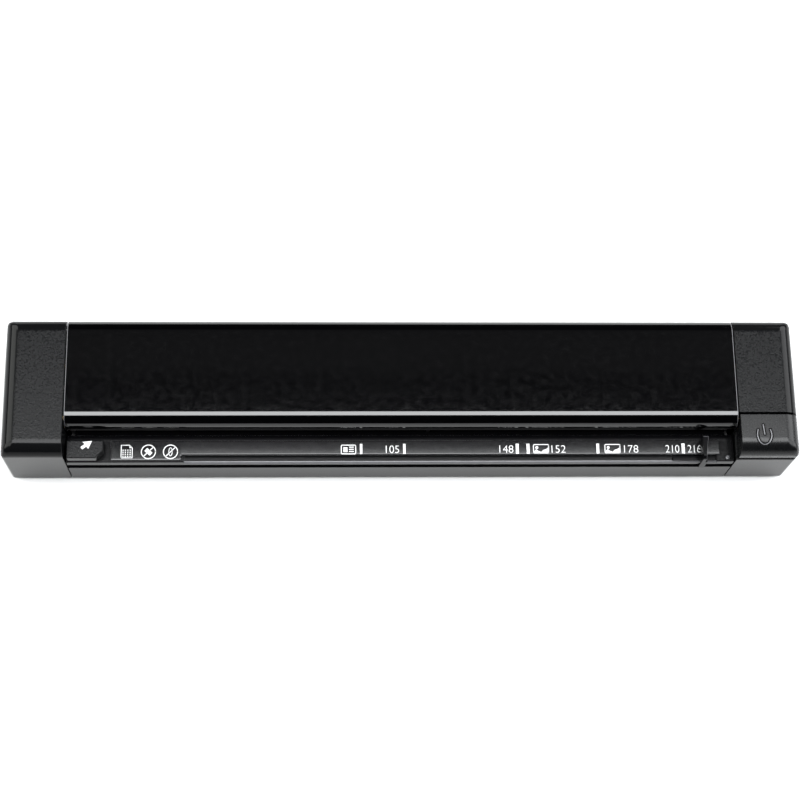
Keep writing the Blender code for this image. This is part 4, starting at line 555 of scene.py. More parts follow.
def cap_form(name, side, inset):
    """A cap's rounded block on the left (-1) or right (1), made smaller by an inset."""
    large = EDGE_ROUND - inset
    small = max(SMALL_ROUND - inset, 0)

    def width_at(middle):
        if middle.x * side < -TINY:
            return 0
        if abs(middle.z) < TINY:
            return small
        return large if middle.z > 0 else small

    ends = sorted((side * (CAP_FACE + inset), side * (cad_high.x - inset)))
    return rounded(name, (ends[0], FRONT + inset, BASE + inset),
                   (ends[1], BACK - inset, HEIGHT - inset), width_at, large)


def cap_openings(side):
    """The way into the middle of the body, and the screw's hole with its recess."""
    ends = sorted((side * (CAP_FACE - OVERRUN), side * (CAP_FACE + OPENING_DEPTH)))
    way = box("opening", (ends[0], FRONT + OPENING_FRONT, BASE + CAP_WALL),
              (ends[1], BACK - OPENING_BACK, HEIGHT - OPENING_TOP))
    low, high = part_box("left_cap_screw" if side < 0 else "right_cap_screw")
    x, y = (low.x + high.x) / 2, (low.y + high.y) / 2
    under = (x, y, BASE - OVERRUN)
    hole = rod("screw_way", under, (x, y, BASE + SCREW_WAY_DEPTH), SCREW_WAY, HOLE_SIDES)
    recess = rod("screw_recess", under, (x, y, BASE + SCREW_RECESS_DEPTH), SCREW_RECESS, HOLE_SIDES)
    return way, hole, recess


def cap_rim(place):
    """The outer edge of the cap's open side, without the edges of the way into the body."""
    by_depth = FRONT + OPENING_FRONT - OVERRUN < place.y < BACK - OPENING_BACK + GAP * 2
    by_height = BASE + CAP_WALL - GAP < place.z < HEIGHT - OPENING_TOP + GAP * 2
    by_button = place.x > 0 and place.y < BUTTON_WALL_Y + CAP_WALL and place.z > BUTTON_FLOOR - OVERRUN
    return abs(abs(place.x) - CAP_FACE) < TINY and not (by_depth and by_height) and not by_button


def cap_shell(name, side):
    """A hollow cap with its openings."""
    return cut(cap_form(name, side, 0), cap_form("hollow", side, CAP_WALL), *cap_openings(side))


def left_cap():
    cap = cap_shell("left_cap_shell", -1)
    return dress(soften(cap, RIM, keep=cap_rim), "textured_black", node="left_end_cap")


def right_cap():
    cap = cap_shell("right_cap_shell", 1)
    space = box("button_space", (CAP_FACE - OVERRUN, FRONT - OVERRUN, BUTTON_FLOOR - FLOOR_ROUND),
                (cad_high.x + OVERRUN, BUTTON_WALL_Y, HEIGHT + OVERRUN))
    usb_low, usb_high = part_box("usb_socket")
    usb = box("usb_hole", (usb_low.x - GAP, BACK - USB_DEPTH, usb_low.z - STEP_BACK),
              (usb_high.x + GAP, BACK + OVERRUN, usb_high.z + USB_GAP_HIGH))
    cut(cap, space, usb)

    def floor_edge(middle):
        if abs(middle.z) < TINY:
            return SMALL_ROUND if middle.x > 0 and middle.y < 0 else 0
        return FLOOR_ROUND if middle.z > 0 and (middle.y < -TINY or middle.x > TINY) else 0

    inside, low, back = CAP_FACE + LET_IN, BUTTON_FLOOR - CAP_WALL, BUTTON_WALL_Y + INNER_WALL
    floor = rounded("button_floor", (inside, FRONT + STEP_BACK, low),
                    (cad_high.x - STEP_BACK, back, BUTTON_FLOOR), floor_edge, SMALL_ROUND)
    wall = box("button_back_wall", (inside, BUTTON_WALL_Y, low),
               (cad_high.x - OPENING_DEPTH, back, HEIGHT - OVERRUN))
    join(cap, floor, wall)

    def fine(place):
        by_usb = place.y > BACK - USB_NEAR_Y and abs(place.x - usb_low.x) < USB_NEAR_X
        return cap_rim(place) or by_usb

    return dress(soften(cap, RIM, keep=fine), "textured_black", node="right_end_cap")


# The power symbol: a ring with a gap of 116 degrees at its top, and a bar
SYMBOL_X = 0.1337
SYMBOL_Y = -0.0193
SYMBOL_HALF_X = 0.00265
SYMBOL_HALF_Y = 0.0037
SYMBOL_STROKE = 0.00068
SYMBOL_RIDGE = 0.00018
SYMBOL_DEPTH = 0.00018
SYMBOL_HALF_GAP = 58
SYMBOL_STEPS = 32
SYMBOL_BITE = 0.0006
# The sheet of painted shade on the groove's floor: how far it stays in from the groove's sides and how
# deep it sits
SHADE_SHEET_EDGE = 0.00004
SHADE_SHEET_SUNK = 0.0001
RIDGE_SUNK = 0.00005
RIDGE_DROP = 0.00002
BAR_LEFT = 0.0003
BAR_LEAN = 0.0004
BAR_TOP = -0.01545
BAR_LENGTH = 0.0037
BAR_STEPS = 8
END_STEPS = 5

# The button's face, its hollow and its stem
BUTTON_STEPS = 16
BUTTON_SEAM = 0.00022
BUTTON_SHELL = 0.0016
BUTTON_SOLID = 0.0065
STEM_X = 0.0108
STEM_Y = 0.0085
STEM_RADIUS = 0.0016


def on_button(x, y, rise):
    """A point on the button's top, where y runs on along the round front, raised by rise."""
    edge = FRONT + EDGE_ROUND
    if y >= edge:
        return Vector((x, y, HEIGHT + rise))
    turn = (edge - y) / EDGE_ROUND
    reach = EDGE_ROUND + rise
    return Vector((x, edge - reach * math.sin(turn), HEIGHT - EDGE_ROUND + reach * math.cos(turn)))


def stroke(name, path, half, low, high, place=on_button):
    """A closed bar of even width that follows a path over the button, with rounded ends."""
    points = [Vector(point) for point in path]
    first, last = (points[0] - points[1]).normalized(), (points[-1] - points[-2]).normalized()
    turns = [math.pi / 2 * step / (END_STEPS + 0.5) for step in range(1, END_STEPS + 1)]
    sections = []
    for angle in reversed(turns):
        sections.append((points[0] + first * half * math.sin(angle), -first, half * math.cos(angle)))
    for i, point in enumerate(points):
        along = (points[min(i + 1, len(points) - 1)] - points[max(i - 1, 0)]).normalized()
        sections.append((point, along, half))
    for angle in turns:
        sections.append((points[-1] + last * half * math.sin(angle), last, half * math.cos(angle)))
    cage = bmesh.new()
    rings = []
    for middle, along, wide in sections:
        side = Vector((-along.y, along.x)) * wide
        left, right = middle + side, middle - side
        corners = ((left, low), (right, low), (right, high), (left, high))
        rings.append([cage.verts.new(place(spot.x, spot.y, rise)) for spot, rise in corners])
    for near, far in zip(rings, rings[1:]):
        for i in range(4):
            j = (i + 1) % 4
            cage.faces.new((near[i], near[j], far[j], far[i]))
    cage.faces.new(rings[0][::-1])
    cage.faces.new(rings[-1])
    bmesh.ops.recalc_face_normals(cage, faces=cage.faces)
    bmesh.ops.triangulate(cage, faces=cage.faces)
    return from_cage(name, cage)


def symbol_paths():
    """The middle lines of the power symbol's ring and bar."""
    ring, bar = [], []
    for step in range(SYMBOL_STEPS + 1):
        angle = math.radians(90 + SYMBOL_HALF_GAP + (360 - SYMBOL_HALF_GAP * 2) * step / SYMBOL_STEPS)
        ring.append((SYMBOL_X + SYMBOL_HALF_X * math.cos(angle),
                     SYMBOL_Y + SYMBOL_HALF_Y * math.sin(angle)))
    for step in range(BAR_STEPS + 1):
        bar.append((SYMBOL_X - BAR_LEFT + BAR_LEAN * step / BAR_STEPS,
                    BAR_TOP - BAR_LENGTH * step / BAR_STEPS))
    return ring, bar


def button():
    inside = CAP_FACE + GAP

    def width_at(middle):
        if middle.z > TINY and (middle.y < -TINY or middle.x > TINY):
            return EDGE_ROUND
        if abs(middle.z) < TINY and middle.x > 0 and middle.y < 0:
            return SMALL_ROUND
        return 0

    def seam(place):
        by_side = abs(place.x - inside) < TINY or abs(place.y - BUTTON_BACK) < TINY
        return by_side or abs(place.z - BUTTON_BOTTOM) < TINY

    form = rounded("button_face", (inside, FRONT, BUTTON_BOTTOM),
                   (cad_high.x, BUTTON_BACK, HEIGHT), width_at, EDGE_ROUND, BUTTON_STEPS)
    soften(form, BUTTON_SEAM, keep=seam)
    form.modifiers.clear()
    hollow = box("button_hollow", (CAP_FACE + CAP_WALL, FRONT + BUTTON_SOLID, BUTTON_BOTTOM - OVERRUN),
                 (cad_high.x - BUTTON_SOLID, BUTTON_BACK - BUTTON_SHELL, HEIGHT - BUTTON_SHELL))
    cut(form, hollow)
    for path in symbol_paths():
        cut(form, stroke("groove", path, SYMBOL_STROKE, -SYMBOL_DEPTH, SYMBOL_BITE))
        # Painted shade: a dark sheet on the groove's floor stands in for the shade in the engraved
        # stroke
        groove_shade_sheet = stroke("symbol_floor", path, SYMBOL_STROKE - SHADE_SHEET_EDGE, -SYMBOL_DEPTH - SHADE_SHEET_SUNK,
                     -SYMBOL_DEPTH + SHADE_SHEET_EDGE)
        dress(smooth(groove_shade_sheet), "painted_groove_shade", "power_button")
        # Painted highlight: a thin ridge in the lighter edge material stands in for the light lines
        # along the stroke
        ridge = stroke("symbol_ridge", path, SYMBOL_RIDGE, -SYMBOL_DEPTH - RIDGE_SUNK, -RIDGE_DROP)
        dress(smooth(ridge), "painted_edge_highlight", "power_button")
    x, y = CAP_FACE + STEM_X, FRONT + STEM_Y
    stem = rod("stem", (x, y, button_low.z + LET_IN), (x, y, HEIGHT - OVERRUN), STEM_RADIUS, HOLE_SIDES)
    join(form, stem)
    return dress(soften(form, 0), "button_black", "power_button", "power_button")


# Cover
COVER_EDGE_Y = -0.0101
LIP_Y = COVER_EDGE_Y - FRONT_ROUND
LIP_BOTTOM = 0.0273
COVER_REAR = 0.0262
COVER_RIM = 0.00028
INNER_STEPS = 8


def cover():
    back, end = BACK, cover_high.x
    edge = COVER_EDGE_Y
    ring = [(back, COVER_REAR)]
    ring += arc((back - EDGE_ROUND, HEIGHT - EDGE_ROUND), EDGE_ROUND, 0, 90)
    ring += arc((edge, HEIGHT - FRONT_ROUND), FRONT_ROUND, 90, 180)
    ring += [(LIP_Y, LIP_BOTTOM), (LIP_Y + WALL, LIP_BOTTOM)]
    ring += arc((edge, HEIGHT - FRONT_ROUND), FRONT_ROUND - WALL, 180, 90, INNER_STEPS)
    ring += arc((back - EDGE_ROUND, HEIGHT - EDGE_ROUND), EDGE_ROUND - WALL, 90, 0, INNER_STEPS)
    ring += [(back - WALL, COVER_REAR)]
    # The rounds at the cover's two ends get the painted edge highlight, a lighter grey that stands in
    # for the highlight lines on them
    piece = soften(prism("cover_shell", ring, "X", -end, end), COVER_RIM,
                   rim=lambda place: abs(place.x) > end - COVER_RIM)
    return dress(piece, "gloss_black", node="top_cover", rim="painted_edge_highlight")


# Shelf, with the groove that the guide's foot slides in and the recess for its catch
SHELF_FRONT = shelf_low.y
SHELF_BACK = shelf_high.y
SHELF_ROUND = 0.0005
SKIRT_TOP = SHELF_TOP - 0.0030
BEAM_BOTTOM = SHELF_TOP - 0.0040
BEAM_BACK = SHELF_FRONT + 0.0045
GROOVE_FLOOR = SHELF_TOP - 0.0017
GROOVE_LEFT = -0.0813
GROOVE_RIGHT = 0.1182
GROOVE_BACK = FRONT + 0.0029
GROOVE_ROUND = 0.0008
GROOVE_CORNER = 0.0006
CORNER_STEPS = 6
ROUND_STEPS = 8
ON_ROUND = 0.05
CATCH_TOP = SHELF_TOP - 0.0036
CATCH_DEPTH = 0.0007
LIGHT_RADIUS = 0.001
LIGHT_HOLE = 0.00115
LENS_SIDES = 40
LENS_ROUND = 0.0004
LIGHT_X = light_high.x - LIGHT_RADIUS
LIGHT_Y = light_high.y - LIGHT_RADIUS

# How near to a face the middle of an edge is that belongs to it
NEAR = 0.0002

# Marking panel, which is wider on the left of its step, with its crown and its pocket in the shelf
PANEL_FRONT = FRONT + 0.0033
PANEL_BACK = FRONT + 0.0084
PANEL_WIDE = FRONT + 0.0012
PANEL_MARGIN = 0.0009
PANEL_STEP = GROOVE_LEFT - PANEL_MARGIN
PANEL_ROUND = 0.0008
PANEL_RIM = 0.00012
PANEL_DEPTH = 0.0051
PANEL_DEPTH_WIDE = 0.0072
PANEL_CUTS = 15
PANEL_CROWN = 0.000015
WIDE_SHARE = 0.15
POCKET_GAP = 0.00015

# Paper stop and paper guide
STOP_CORNER = 0.0028
STOP_CORE_CORNER = 0.00292
STOP_ROUND = 0.00045
STOP_GROOVE_Z = 0.0261
STOP_GROOVE_HALF = 0.0002
BLADE_X = 0.1119
BLADE_WIDE = 0.0022
BLADE_THIN = 0.0012
BLADE_NOSE = 0.00225
BLADE_FOOT = 0.0022
BLADE_ROUND = 0.0016
BLADE_CHAMFER = 0.0006
BLADE_RIM = 0.00028
CATCH_HEIGHT = 0.0009
LIT_X = 0.0009
LIT_Z = 0.0024
RUNNER_LEFT = 0.0103
RUNNER_RIGHT = 0.0058
RUNNER_FRONT = FRONT + 0.0008
RUNNER_HEIGHT = 0.0010
RUNNER_ROUND = 0.00015


def shelf():
    wall, under, low = SHELF_FRONT + WALL, SHELF_TOP - WALL, shelf_low.z
    ring = [(SHELF_FRONT, low), (wall, low), (wall, BEAM_BOTTOM), (BEAM_BACK, BEAM_BOTTOM)]
    ring += [(BEAM_BACK, under), (SHELF_BACK, under), (SHELF_BACK, SHELF_TOP)]
    ring += arc((SHELF_FRONT + SHELF_ROUND, SHELF_TOP - SHELF_ROUND), SHELF_ROUND, 90, 180, CORNER_STEPS)
    form = prism("shelf_plate", ring, "X", -cover_high.x, cover_high.x)
    ahead, above, reach = FRONT - OVERRUN, SHELF_TOP + OVERRUN, cover_high.x + OVERRUN
    catch = box("catch", (-reach, ahead, low - OVERRUN),
                (reach, SHELF_FRONT + CATCH_DEPTH, CATCH_TOP))
    light = rod("light_hole", (LIGHT_X, LIGHT_Y, BEAM_BOTTOM - OVERRUN), (LIGHT_X, LIGHT_Y, above),
                LIGHT_HOLE)
    pocket = prism("pocket", panel_ring(POCKET_GAP), "Z", panel_low.z - GAP, above)

    # The groove is what its outline from above and its outline from the side have in common
    plan = [(GROOVE_LEFT, ahead), (GROOVE_RIGHT, ahead)]
    corner_y = GROOVE_BACK - GROOVE_CORNER
    plan += arc((GROOVE_RIGHT - GROOVE_CORNER, corner_y), GROOVE_CORNER, 0, 90, CORNER_STEPS)
    plan += arc((GROOVE_LEFT + GROOVE_CORNER, corner_y), GROOVE_CORNER, 90, 180, CORNER_STEPS)
    round_y, round_z = SHELF_FRONT + GROOVE_ROUND, GROOVE_FLOOR - GROOVE_ROUND
    profile = [(GROOVE_BACK + OVERRUN, above), (GROOVE_BACK + OVERRUN, GROOVE_FLOOR)]
    profile += arc((round_y, round_z), GROOVE_ROUND, 90, 180, ROUND_STEPS)
    profile += [(ahead, round_z), (ahead, above)]
    channel = prism("groove", plan, "Z", BEAM_BOTTOM, SHELF_TOP + OVERRUN * 2)
    along = prism("profile", profile, "X", GROOVE_LEFT - OVERRUN, GROOVE_RIGHT + OVERRUN)
    cut(form, combined(channel, "INTERSECT", along), catch, pocket, light)

    def fine_edge(place):
        return place.z > GROOVE_FLOOR + NEAR or place.z < SKIRT_TOP

    # Painted highlight: the rims by the panel and at the groove's left end get the lighter edge material
    def painted_highlight_rim(place):
        by_panel = place.z > SHELF_TOP - NEAR and place.y > GROOVE_BACK - NEAR / 2
        by_width = panel_low.x - GAP * 2 < place.x < BLADE_X
        return by_panel and by_width or abs(place.x - GROOVE_LEFT) < GAP

    soften(form, FINE, 2, keep=fine_edge, rim=painted_highlight_rim)
    form.modifiers.clear()
    # Painted highlight: the faces of the groove's round front edge get the lighter edge material too
    for face in form.data.polygons:
        on_round = face.center.y < round_y and round_z < face.center.z < GROOVE_FLOOR
        if on_round and face.normal.y < -ON_ROUND and face.normal.z > ON_ROUND:
            face.material_index = 1
    return dress(smooth(form), "satin_black", node="feed_shelf", rim="painted_edge_highlight")


def panel_ring(spare):
    """The panel's outline from above, made larger by spare."""
    left, right = panel_low.x - spare, panel_high.x + spare
    front, back = PANEL_FRONT - spare, PANEL_BACK + spare
    wide, step = PANEL_WIDE - spare, PANEL_STEP + spare
    corner = arc((step - PANEL_ROUND, wide + PANEL_ROUND), PANEL_ROUND, -90, 0, CORNER_STEPS)
    return [(left, back), (left, wide)] + corner + [(step, front), (right, front), (right, back)]


def crowned(x, y):
    """The panel's top, which falls a little towards its front edge, and less on its wide left part."""
    share = (panel_high.y - y) / PANEL_DEPTH
    crown = PANEL_CROWN if x > PANEL_STEP - TINY else PANEL_CROWN * WIDE_SHARE
    return SHELF_TOP - crown * share * share


def panel():
    form = prism("marking_strip", panel_ring(0), "Z", panel_low.z, SHELF_TOP)
    cage = bmesh.new()
    cage.from_mesh(form.data)
    rows = [panel_high.y - PANEL_DEPTH_WIDE * step / PANEL_CUTS for step in range(1, PANEL_CUTS)]
    planes = [(Vector((0, y, 0)), Vector((0, 1, 0))) for y in rows]
    planes += [(Vector((x, 0, 0)), Vector((1, 0, 0))) for x in (PANEL_STEP - PANEL_MARGIN, PANEL_STEP)]
    for place, normal in planes:
        bmesh.ops.bisect_plane(cage, geom=cage.verts[:] + cage.edges[:] + cage.faces[:],
                               plane_co=place, plane_no=normal)
    for vert in cage.verts:
        if vert.co.z > SHELF_TOP - TINY:
            vert.co.z = crowned(vert.co.x, vert.co.y)
    cage.to_mesh(form.data)
    cage.free()
    edge_bevel(form, "rim", PANEL_RIM, 40)
    return dress(smooth(applied(form)), "panel_black", node="marking_panel")


def stop():
    left, right, front, back = stop_low.x, stop_high.x, stop_low.y, stop_high.y
    ring = [(left, front), (right - STOP_CORNER, front), (right, front + STOP_CORNER), (right, back)]
    form = prism("paper_stop_block", ring + [(left, back)], "Z", stop_low.z, stop_high.z)
    soften(form, STOP_ROUND, 4)
    form.modifiers.clear()

    # The line around it is cut by a band with a core that is a groove's depth smaller than the block
    inner = [(left - OVERRUN, front + GAP), (right - STOP_CORE_CORNER, front + GAP)]
    inner += [(right - GAP, front + STOP_CORE_CORNER), (right - GAP, back + OVERRUN)]
    inner += [(left - OVERRUN, back + OVERRUN)]
    far_left, far_back = left - OVERRUN * 2, back + OVERRUN * 2
    outer = [(far_left, front - OVERRUN), (right + OVERRUN, front - OVERRUN)]
    outer += [(right + OVERRUN, far_back), (far_left, far_back)]
    band = prism("band", outer, "Z", STOP_GROOVE_Z - STOP_GROOVE_HALF, STOP_GROOVE_Z + STOP_GROOVE_HALF)
    cut(band, prism("core", inner, "Z", STOP_GROOVE_Z - OVERRUN, STOP_GROOVE_Z + OVERRUN))
    cut(form, band)
    return dress(smooth(form), "textured_black", node="paper_stop")


def guide():
    nose, inner = guide_low.y, SHELF_FRONT - GAP
    floor, top = GROOVE_FLOOR + GAP, guide_high.z
    back, foot = guide_high.y, GROOVE_BACK - GAP
    hook, under, over = inner + CATCH_DEPTH, CATCH_TOP - CATCH_HEIGHT, CATCH_TOP - GAP
    ring = [(back, SHELF_TOP + GAP), (back, top - BLADE_CHAMFER), (back - BLADE_CHAMFER, top)]
    ring += arc((nose + BLADE_ROUND, top - BLADE_ROUND), BLADE_ROUND, 90, 180, 10)
    ring += [(nose, guide_low.z), (inner, guide_low.z), (inner, under), (hook, under)]
    ring += [(hook, over), (inner, over), (inner, floor), (foot, floor), (foot, SHELF_TOP + GAP)]
    blade = prism("guide_blade", ring, "X", BLADE_X, BLADE_X + BLADE_WIDE)

    # Above its foot the blade gets thinner towards its nose
    thin, beyond = BLADE_X + BLADE_THIN, BLADE_X + BLADE_WIDE + OVERRUN
    waist = [(BLADE_X + BLADE_WIDE, back), (thin, nose + BLADE_NOSE), (thin, nose - OVERRUN)]
    waist += [(beyond, nose - OVERRUN), (beyond, back)]
    cut(blade, prism("trim", waist, "Z", SHELF_TOP + BLADE_FOOT, top + OVERRUN))
    runner = box("runner", (BLADE_X - RUNNER_LEFT, RUNNER_FRONT, floor + STEP_BACK),
                 (BLADE_X + RUNNER_RIGHT, foot - STEP_BACK, floor + RUNNER_HEIGHT))
    join(blade, soften(runner, RUNNER_ROUND))

    # Painted highlight: the blade's upper rims on its right side get the lighter edge material
    def painted_highlight_blade(place):
        return place.x > BLADE_X + LIT_X and place.z > SHELF_TOP + LIT_Z

    soften(blade, BLADE_RIM, rim=painted_highlight_blade)
    return dress(blade, "guide_black", "paper_guide", "paper_guide", "painted_edge_highlight")


def light_pipe():
    lens = rod("light_lens_top", (LIGHT_X, LIGHT_Y, light_low.z), (LIGHT_X, LIGHT_Y, light_high.z),
               LIGHT_RADIUS, LENS_SIDES)
    return dress(soften(lens, LENS_ROUND, 5), "light_lens", node="light_pipe")


# Printed marks, as a film of white ink that is half sunk into the strip, with places in millimetres
INK = 0.00003
MM = 0.001
INSET = 0.2
LINE = 0.32
SIGN_LINE = 0.34
SIGN_RADIUS = 2.62
SLASH = 1.8
CLIP_LINE = 0.24
ROW = 0.36
CARD_ROWS = (0.95, 0.85)
FOLD = 1.3
GRID_X = (0.66, 0.88)
GRID_Y = (0.65, 0.78)
GRID_BAR = 0.46
DIGIT_THINNER = -0.012

# Marks: left, right, low and high edge, or the middle of a sign; one kind's marks share their heights
SHEET = (-104.68, -100.19, -24.29, -19.01)
CARD_SIGN = (-94.42, -21.76)
CLIP_SIGN = (-86.26, -21.78)
CARD = (-23.06, -17.29, -22.9, -19.1)
BARS = ((-15.91, -15.01), (0.21, 1.14), (42.46, 43.57), (46.52, 47.64), (72.82, 73.87), (105.03, 106.22))
BAR_HEIGHTS = (-22.75, -18.85)
NUMBERS = (("105", -6.24, -1.31), ("148", 36.28, 41.52), ("152", 55.89, 61.2),
           ("178", 83.24, 88.6), ("210", 98.92, 104.10), ("216", 107.28, 112.3))
NUMBER_HEIGHTS = (-22.40, -19.50)
PICTURES = ((48.92, 55.01), (75.84, 81.91))
PICTURE_HEIGHTS = (-22.75, -19.00)
ARROW = ((-114.75, -19.03), (-118.20, -19.40), (-117.40, -20.20), (-118.90, -21.35),
         (-118.22, -22.25), (-116.80, -21.20), (-116.05, -22.03))


def film(name, points, level):
    ring = [(x * MM, y * MM) for x, y in points]
    return prism(name, ring, "Z", level - INK, level + INK)


def line_film(name, points, wide, level):
    def at(x, y, rise):
        return Vector((x, y, level + rise))

    path = [(x * MM, y * MM) for x, y in points]
    return stroke(name, path, wide * MM / 2, -INK, INK, at)


def bar_film(left, right, low, high, level):
    return film("bar", [(left, low), (right, low), (right, high), (left, high)], level)


def frame_film(left, right, low, high, level, corner=0.40):
    """A frame with round corners, just inside the place that it's given."""
    left, right, low, high = left + INSET, right - INSET, low + INSET, high - INSET
    spots = []
    for x, y, start in ((right - corner, high - corner, 0), (left + corner, high - corner, 90),
                        (left + corner, low + corner, 180), (right - corner, low + corner, 270)):
        spots += arc((x, y), corner, start, start + 90, 5)
    return line_film("frame", spots + spots[:1], LINE, level)


def words(text, left, right, low, high, level):
    """Plain digits from the built-in font, fitted to a place on the strip."""
    curve = bpy.data.curves.new("digits", "FONT")
    curve.body = text
    curve.extrude = 0.5
    curve.offset = DIGIT_THINNER
    holder = bpy.data.objects.new("digits", curve)
    shown.objects.link(holder)
    mesh = bpy.data.meshes.new_from_object(holder.evaluated_get(update()))
    bpy.data.objects.remove(holder)
    spots = [vert.co for vert in mesh.vertices]
    x0, x1 = min(s.x for s in spots), max(s.x for s in spots)
    y0, y1 = min(s.y for s in spots), max(s.y for s in spots)
    for vert in mesh.vertices:
        x = left + (vert.co.x - x0) / (x1 - x0) * (right - left)
        y = low + (vert.co.y - y0) / (y1 - y0) * (high - low)
        rise = INK if vert.co.z > 0 else -INK
        vert.co = Vector((x * MM, y * MM, level + rise))
    cage = bmesh.new()
    cage.from_mesh(mesh)
    bmesh.ops.remove_doubles(cage, verts=cage.verts, dist=TINY / 10)
    return from_cage("digits", cage)


def picture(left, right, low, high, level):
    """A small landscape: a frame, a sun and two hills."""
    frame = frame_film(left, right, low, high, level)
    sun = film("sun", arc((left + 1.45, high - 1.35), 0.55, 0, 360, 40)[:-1], level)
    hills = [(left + INSET, low + INSET), (right - INSET, low + INSET), (right - INSET, high - 1.2)]
    hills += [(right - 1.2, high - 2.0), (right - 2.2, low + 1.5), (right - 3.0, low + 0.7)]
    hills += [(left + 1.9, low + 1.1), (left + 1.3, low + 1.7), (left + 0.7, low + 1.3)]
    return [frame, sun, film("hills", hills, level)]


def sheet(left, right, low, high, level):
    """A list on a sheet with a folded corner."""
    upper, lower = (right - FOLD, high - INSET), (right - INSET, high - FOLD)
    outline = [(left + INSET, low + INSET), (left + INSET, high - INSET), upper]
    outline += [lower, (right - INSET, low + INSET), (left + INSET, low + INSET)]
    made = [line_film("sheet", outline, LINE, level)]
    made.append(film("fold", [upper, (right - FOLD, high - FOLD), lower], level))
    for column in range(4):
        for row in range(4):
            x, y = left + GRID_X[0] + GRID_X[1] * column, low + GRID_Y[0] + GRID_Y[1] * row
            made.append(bar_film(x, x + GRID_BAR, y, y + ROW, level))
    return made


def forbidden(x, y, level):
    """A ring with a slash from the lower left to the upper right."""
    slash = [(x - SLASH, y - SLASH), (x + SLASH, y + SLASH)]
    return [line_film("ring", arc((x, y), SIGN_RADIUS, 0, 360, 40), SIGN_LINE, level),
            line_film("slash", slash, SIGN_LINE, level)]


def tilted(x, y, level, half_long=1.35, half_short=0.75, angle=-42):
    """A small card that leans to the right."""
    turn = math.radians(angle)
    along = (math.cos(turn), math.sin(turn))
    ring = [(-half_long, -half_short), (half_long, -half_short)]
    ring += [(half_long, half_short), (-half_long, half_short)]
    spots = [(x + a * along[0] - b * along[1], y + a * along[1] + b * along[0]) for a, b in ring]
    return film("tilted_card", spots, level)


def clip_oval(x, y, level, half_x=0.62, half_y=1.55):
    """The outline of a paper clip."""
    angles = [math.radians(angle) for angle in range(0, 361, 12)]
    spots = [(x + half_x * math.cos(a), y + half_y * math.sin(a)) for a in angles]
    return line_film("clip", spots, CLIP_LINE, level)


def card(left, right, low, high, level):
    """A card with a picture on its left and three lines beside it."""
    made = [frame_film(left, right, low, high, level)]
    made.append(bar_film(left + 1.0, left + 2.5, low + 0.9, high - 1.0, level))
    for row in range(3):
        y = low + CARD_ROWS[0] + CARD_ROWS[1] * row
        made.append(bar_film(left + 3.1, right - 0.9, y, y + ROW, level))
    return made


def marks():
    """All printed marks of the strip, as one piece."""
    level = SHELF_TOP - PANEL_CROWN / 2
    made = sheet(*SHEET, level)
    made += forbidden(*CARD_SIGN, level) + [tilted(*CARD_SIGN, level)]
    made += forbidden(*CLIP_SIGN, level) + [clip_oval(*CLIP_SIGN, level)]
    made += card(*CARD, level)
    for left, right in BARS:
        made.append(bar_film(left, right, *BAR_HEIGHTS, level))
    for text, left, right in NUMBERS:
        made.append(words(text, left, right, *NUMBER_HEIGHTS, level))
    for left, right in PICTURES:
        made += picture(left, right, *PICTURE_HEIGHTS, level)
    first = made[0]
    joined = bmesh.new()
    for thing in made:
        joined.from_mesh(thing.data)
        if thing is not first:
            bpy.data.objects.remove(thing)
    joined.to_mesh(first.data)
    joined.free()
    first.name = "printed_marks"
    return dress(first, "white_ink")


def arrow():
    return dress(film("feed_arrow", ARROW, stop_high.z), "white_ink")


def case_edges():
    """Fine round edges on the bottom case, which keeps its place and its mesh."""
    case = nodes["bottom_case"]
    edge_bevel(case, "fine_edges", CASE_RIM, 50).harden_normals = True


case_edges()
left_cap()
right_cap()
button()
cover()
shelf()
panel()
stop()
guide()
light_pipe()
marks()
arrow()

# Stage, light and camera
FLOOR_HALF = 4.0
FLOOR_DARK = (0.427, 0.427, 0.427)
FLOOR_LIGHT = (0.437, 0.437, 0.437)
WORLD_LIGHT = 0.012
LAMP_HEIGHT = 1.0
COOL = (0.97, 0.985, 1.0)
GREENISH = (0.98, 1.0, 0.96)
CAMERA_PLACE = (-0.031374, -0.216847, 0.693129)
CAMERA_YAW = 8.115
CAMERA_DOWN = 72.051
CAMERA_ROLL = 7.697
CAMERA_LENS = 84.302

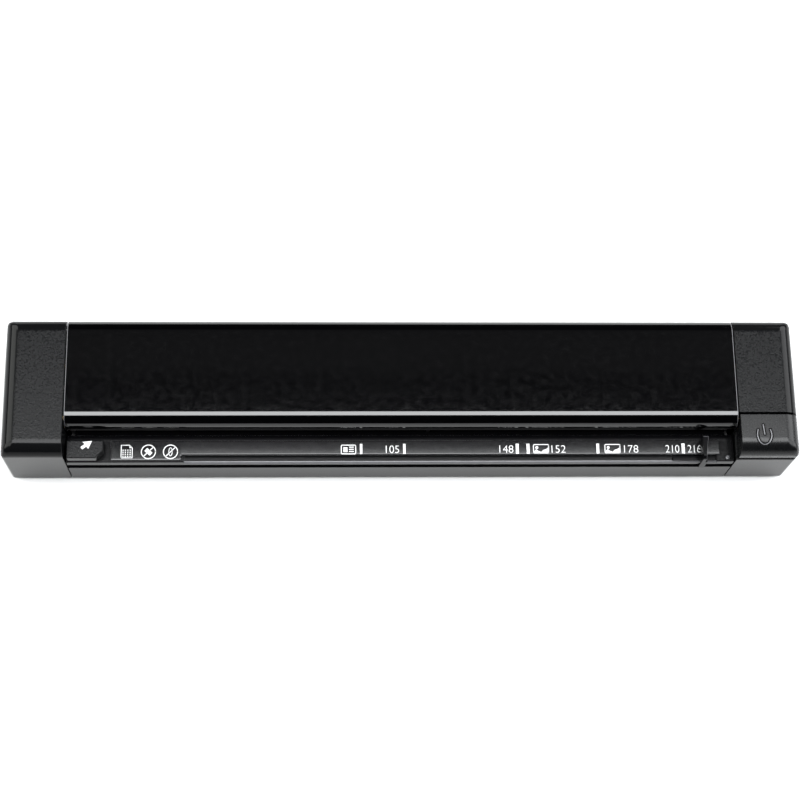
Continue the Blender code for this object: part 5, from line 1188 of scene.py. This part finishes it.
floor_cage = bmesh.new()
bmesh.ops.create_grid(floor_cage, x_segments=1, y_segments=1, size=FLOOR_HALF)
floor = from_cage("floor", floor_cage)
floor_look = Look("floor", (0.5, 0.5, 0.5), 0.9)
floor_look.mixed(floor_look.noise(3.0), FLOOR_DARK, FLOOR_LIGHT)
floor.data.materials.append(looks.pop("floor"))

world = bpy.data.worlds.new("studio")
scene.world = world
world.use_nodes = True
sky = world.node_tree.nodes["Background"]
sky.inputs["Color"].default_value = (1, 1, 1, 1)
sky.inputs["Strength"].default_value = WORLD_LIGHT


def softbox(name, low, high, radiance, colour=COOL):
    """An area light that faces down, given by two corners from above and its radiance."""
    lamp = bpy.data.lights.new(name, "AREA")
    lamp.shape = "RECTANGLE"
    lamp.size, lamp.size_y = high[0] - low[0], high[1] - low[1]
    lamp.color = colour
    lamp.energy = radiance * math.pi * lamp.size * lamp.size_y
    thing = bpy.data.objects.new(name, lamp)
    scene.collection.objects.link(thing)
    thing.location = ((low[0] + high[0]) / 2, (low[1] + high[1]) / 2, LAMP_HEIGHT)
    return thing


softbox("overhead", (-0.65, -0.306), (0.65, 0.246), 16.0)
softbox("behind", (-0.9, 0.330), (0.9, 0.75), 0.12)
softbox("left_side", (-4.4, -0.45), (-0.75, 2.4), 6.5, GREENISH)
softbox("right_side", (0.78, -0.45), (4.4, 2.4), 8.5)


def photo_camera():
    """The photo's view: a camera in front of the object that looks down on it, a little rolled."""
    yaw, down, roll = map(math.radians, (CAMERA_YAW, CAMERA_DOWN, CAMERA_ROLL))
    forward = Vector((math.sin(yaw) * math.cos(down), math.cos(yaw) * math.cos(down), -math.sin(down)))
    flat_right = Vector((math.cos(yaw), -math.sin(yaw), 0))
    flat_up = flat_right.cross(forward)
    right = math.cos(roll) * flat_right + math.sin(roll) * flat_up
    up = -math.sin(roll) * flat_right + math.cos(roll) * flat_up
    turn = Matrix((right, up, -forward)).transposed().to_4x4()
    lens = bpy.data.cameras.new("camera")
    lens.sensor_width = 36
    lens.lens = CAMERA_LENS
    lens.clip_start, lens.clip_end = 0.01, 20
    thing = bpy.data.objects.new("camera", lens)
    scene.collection.objects.link(thing)
    thing.matrix_world = Matrix.Translation(CAMERA_PLACE) @ turn
    scene.camera = thing


photo_camera()
scene.view_settings.view_transform = "Standard"
scene.view_settings.look = "None"
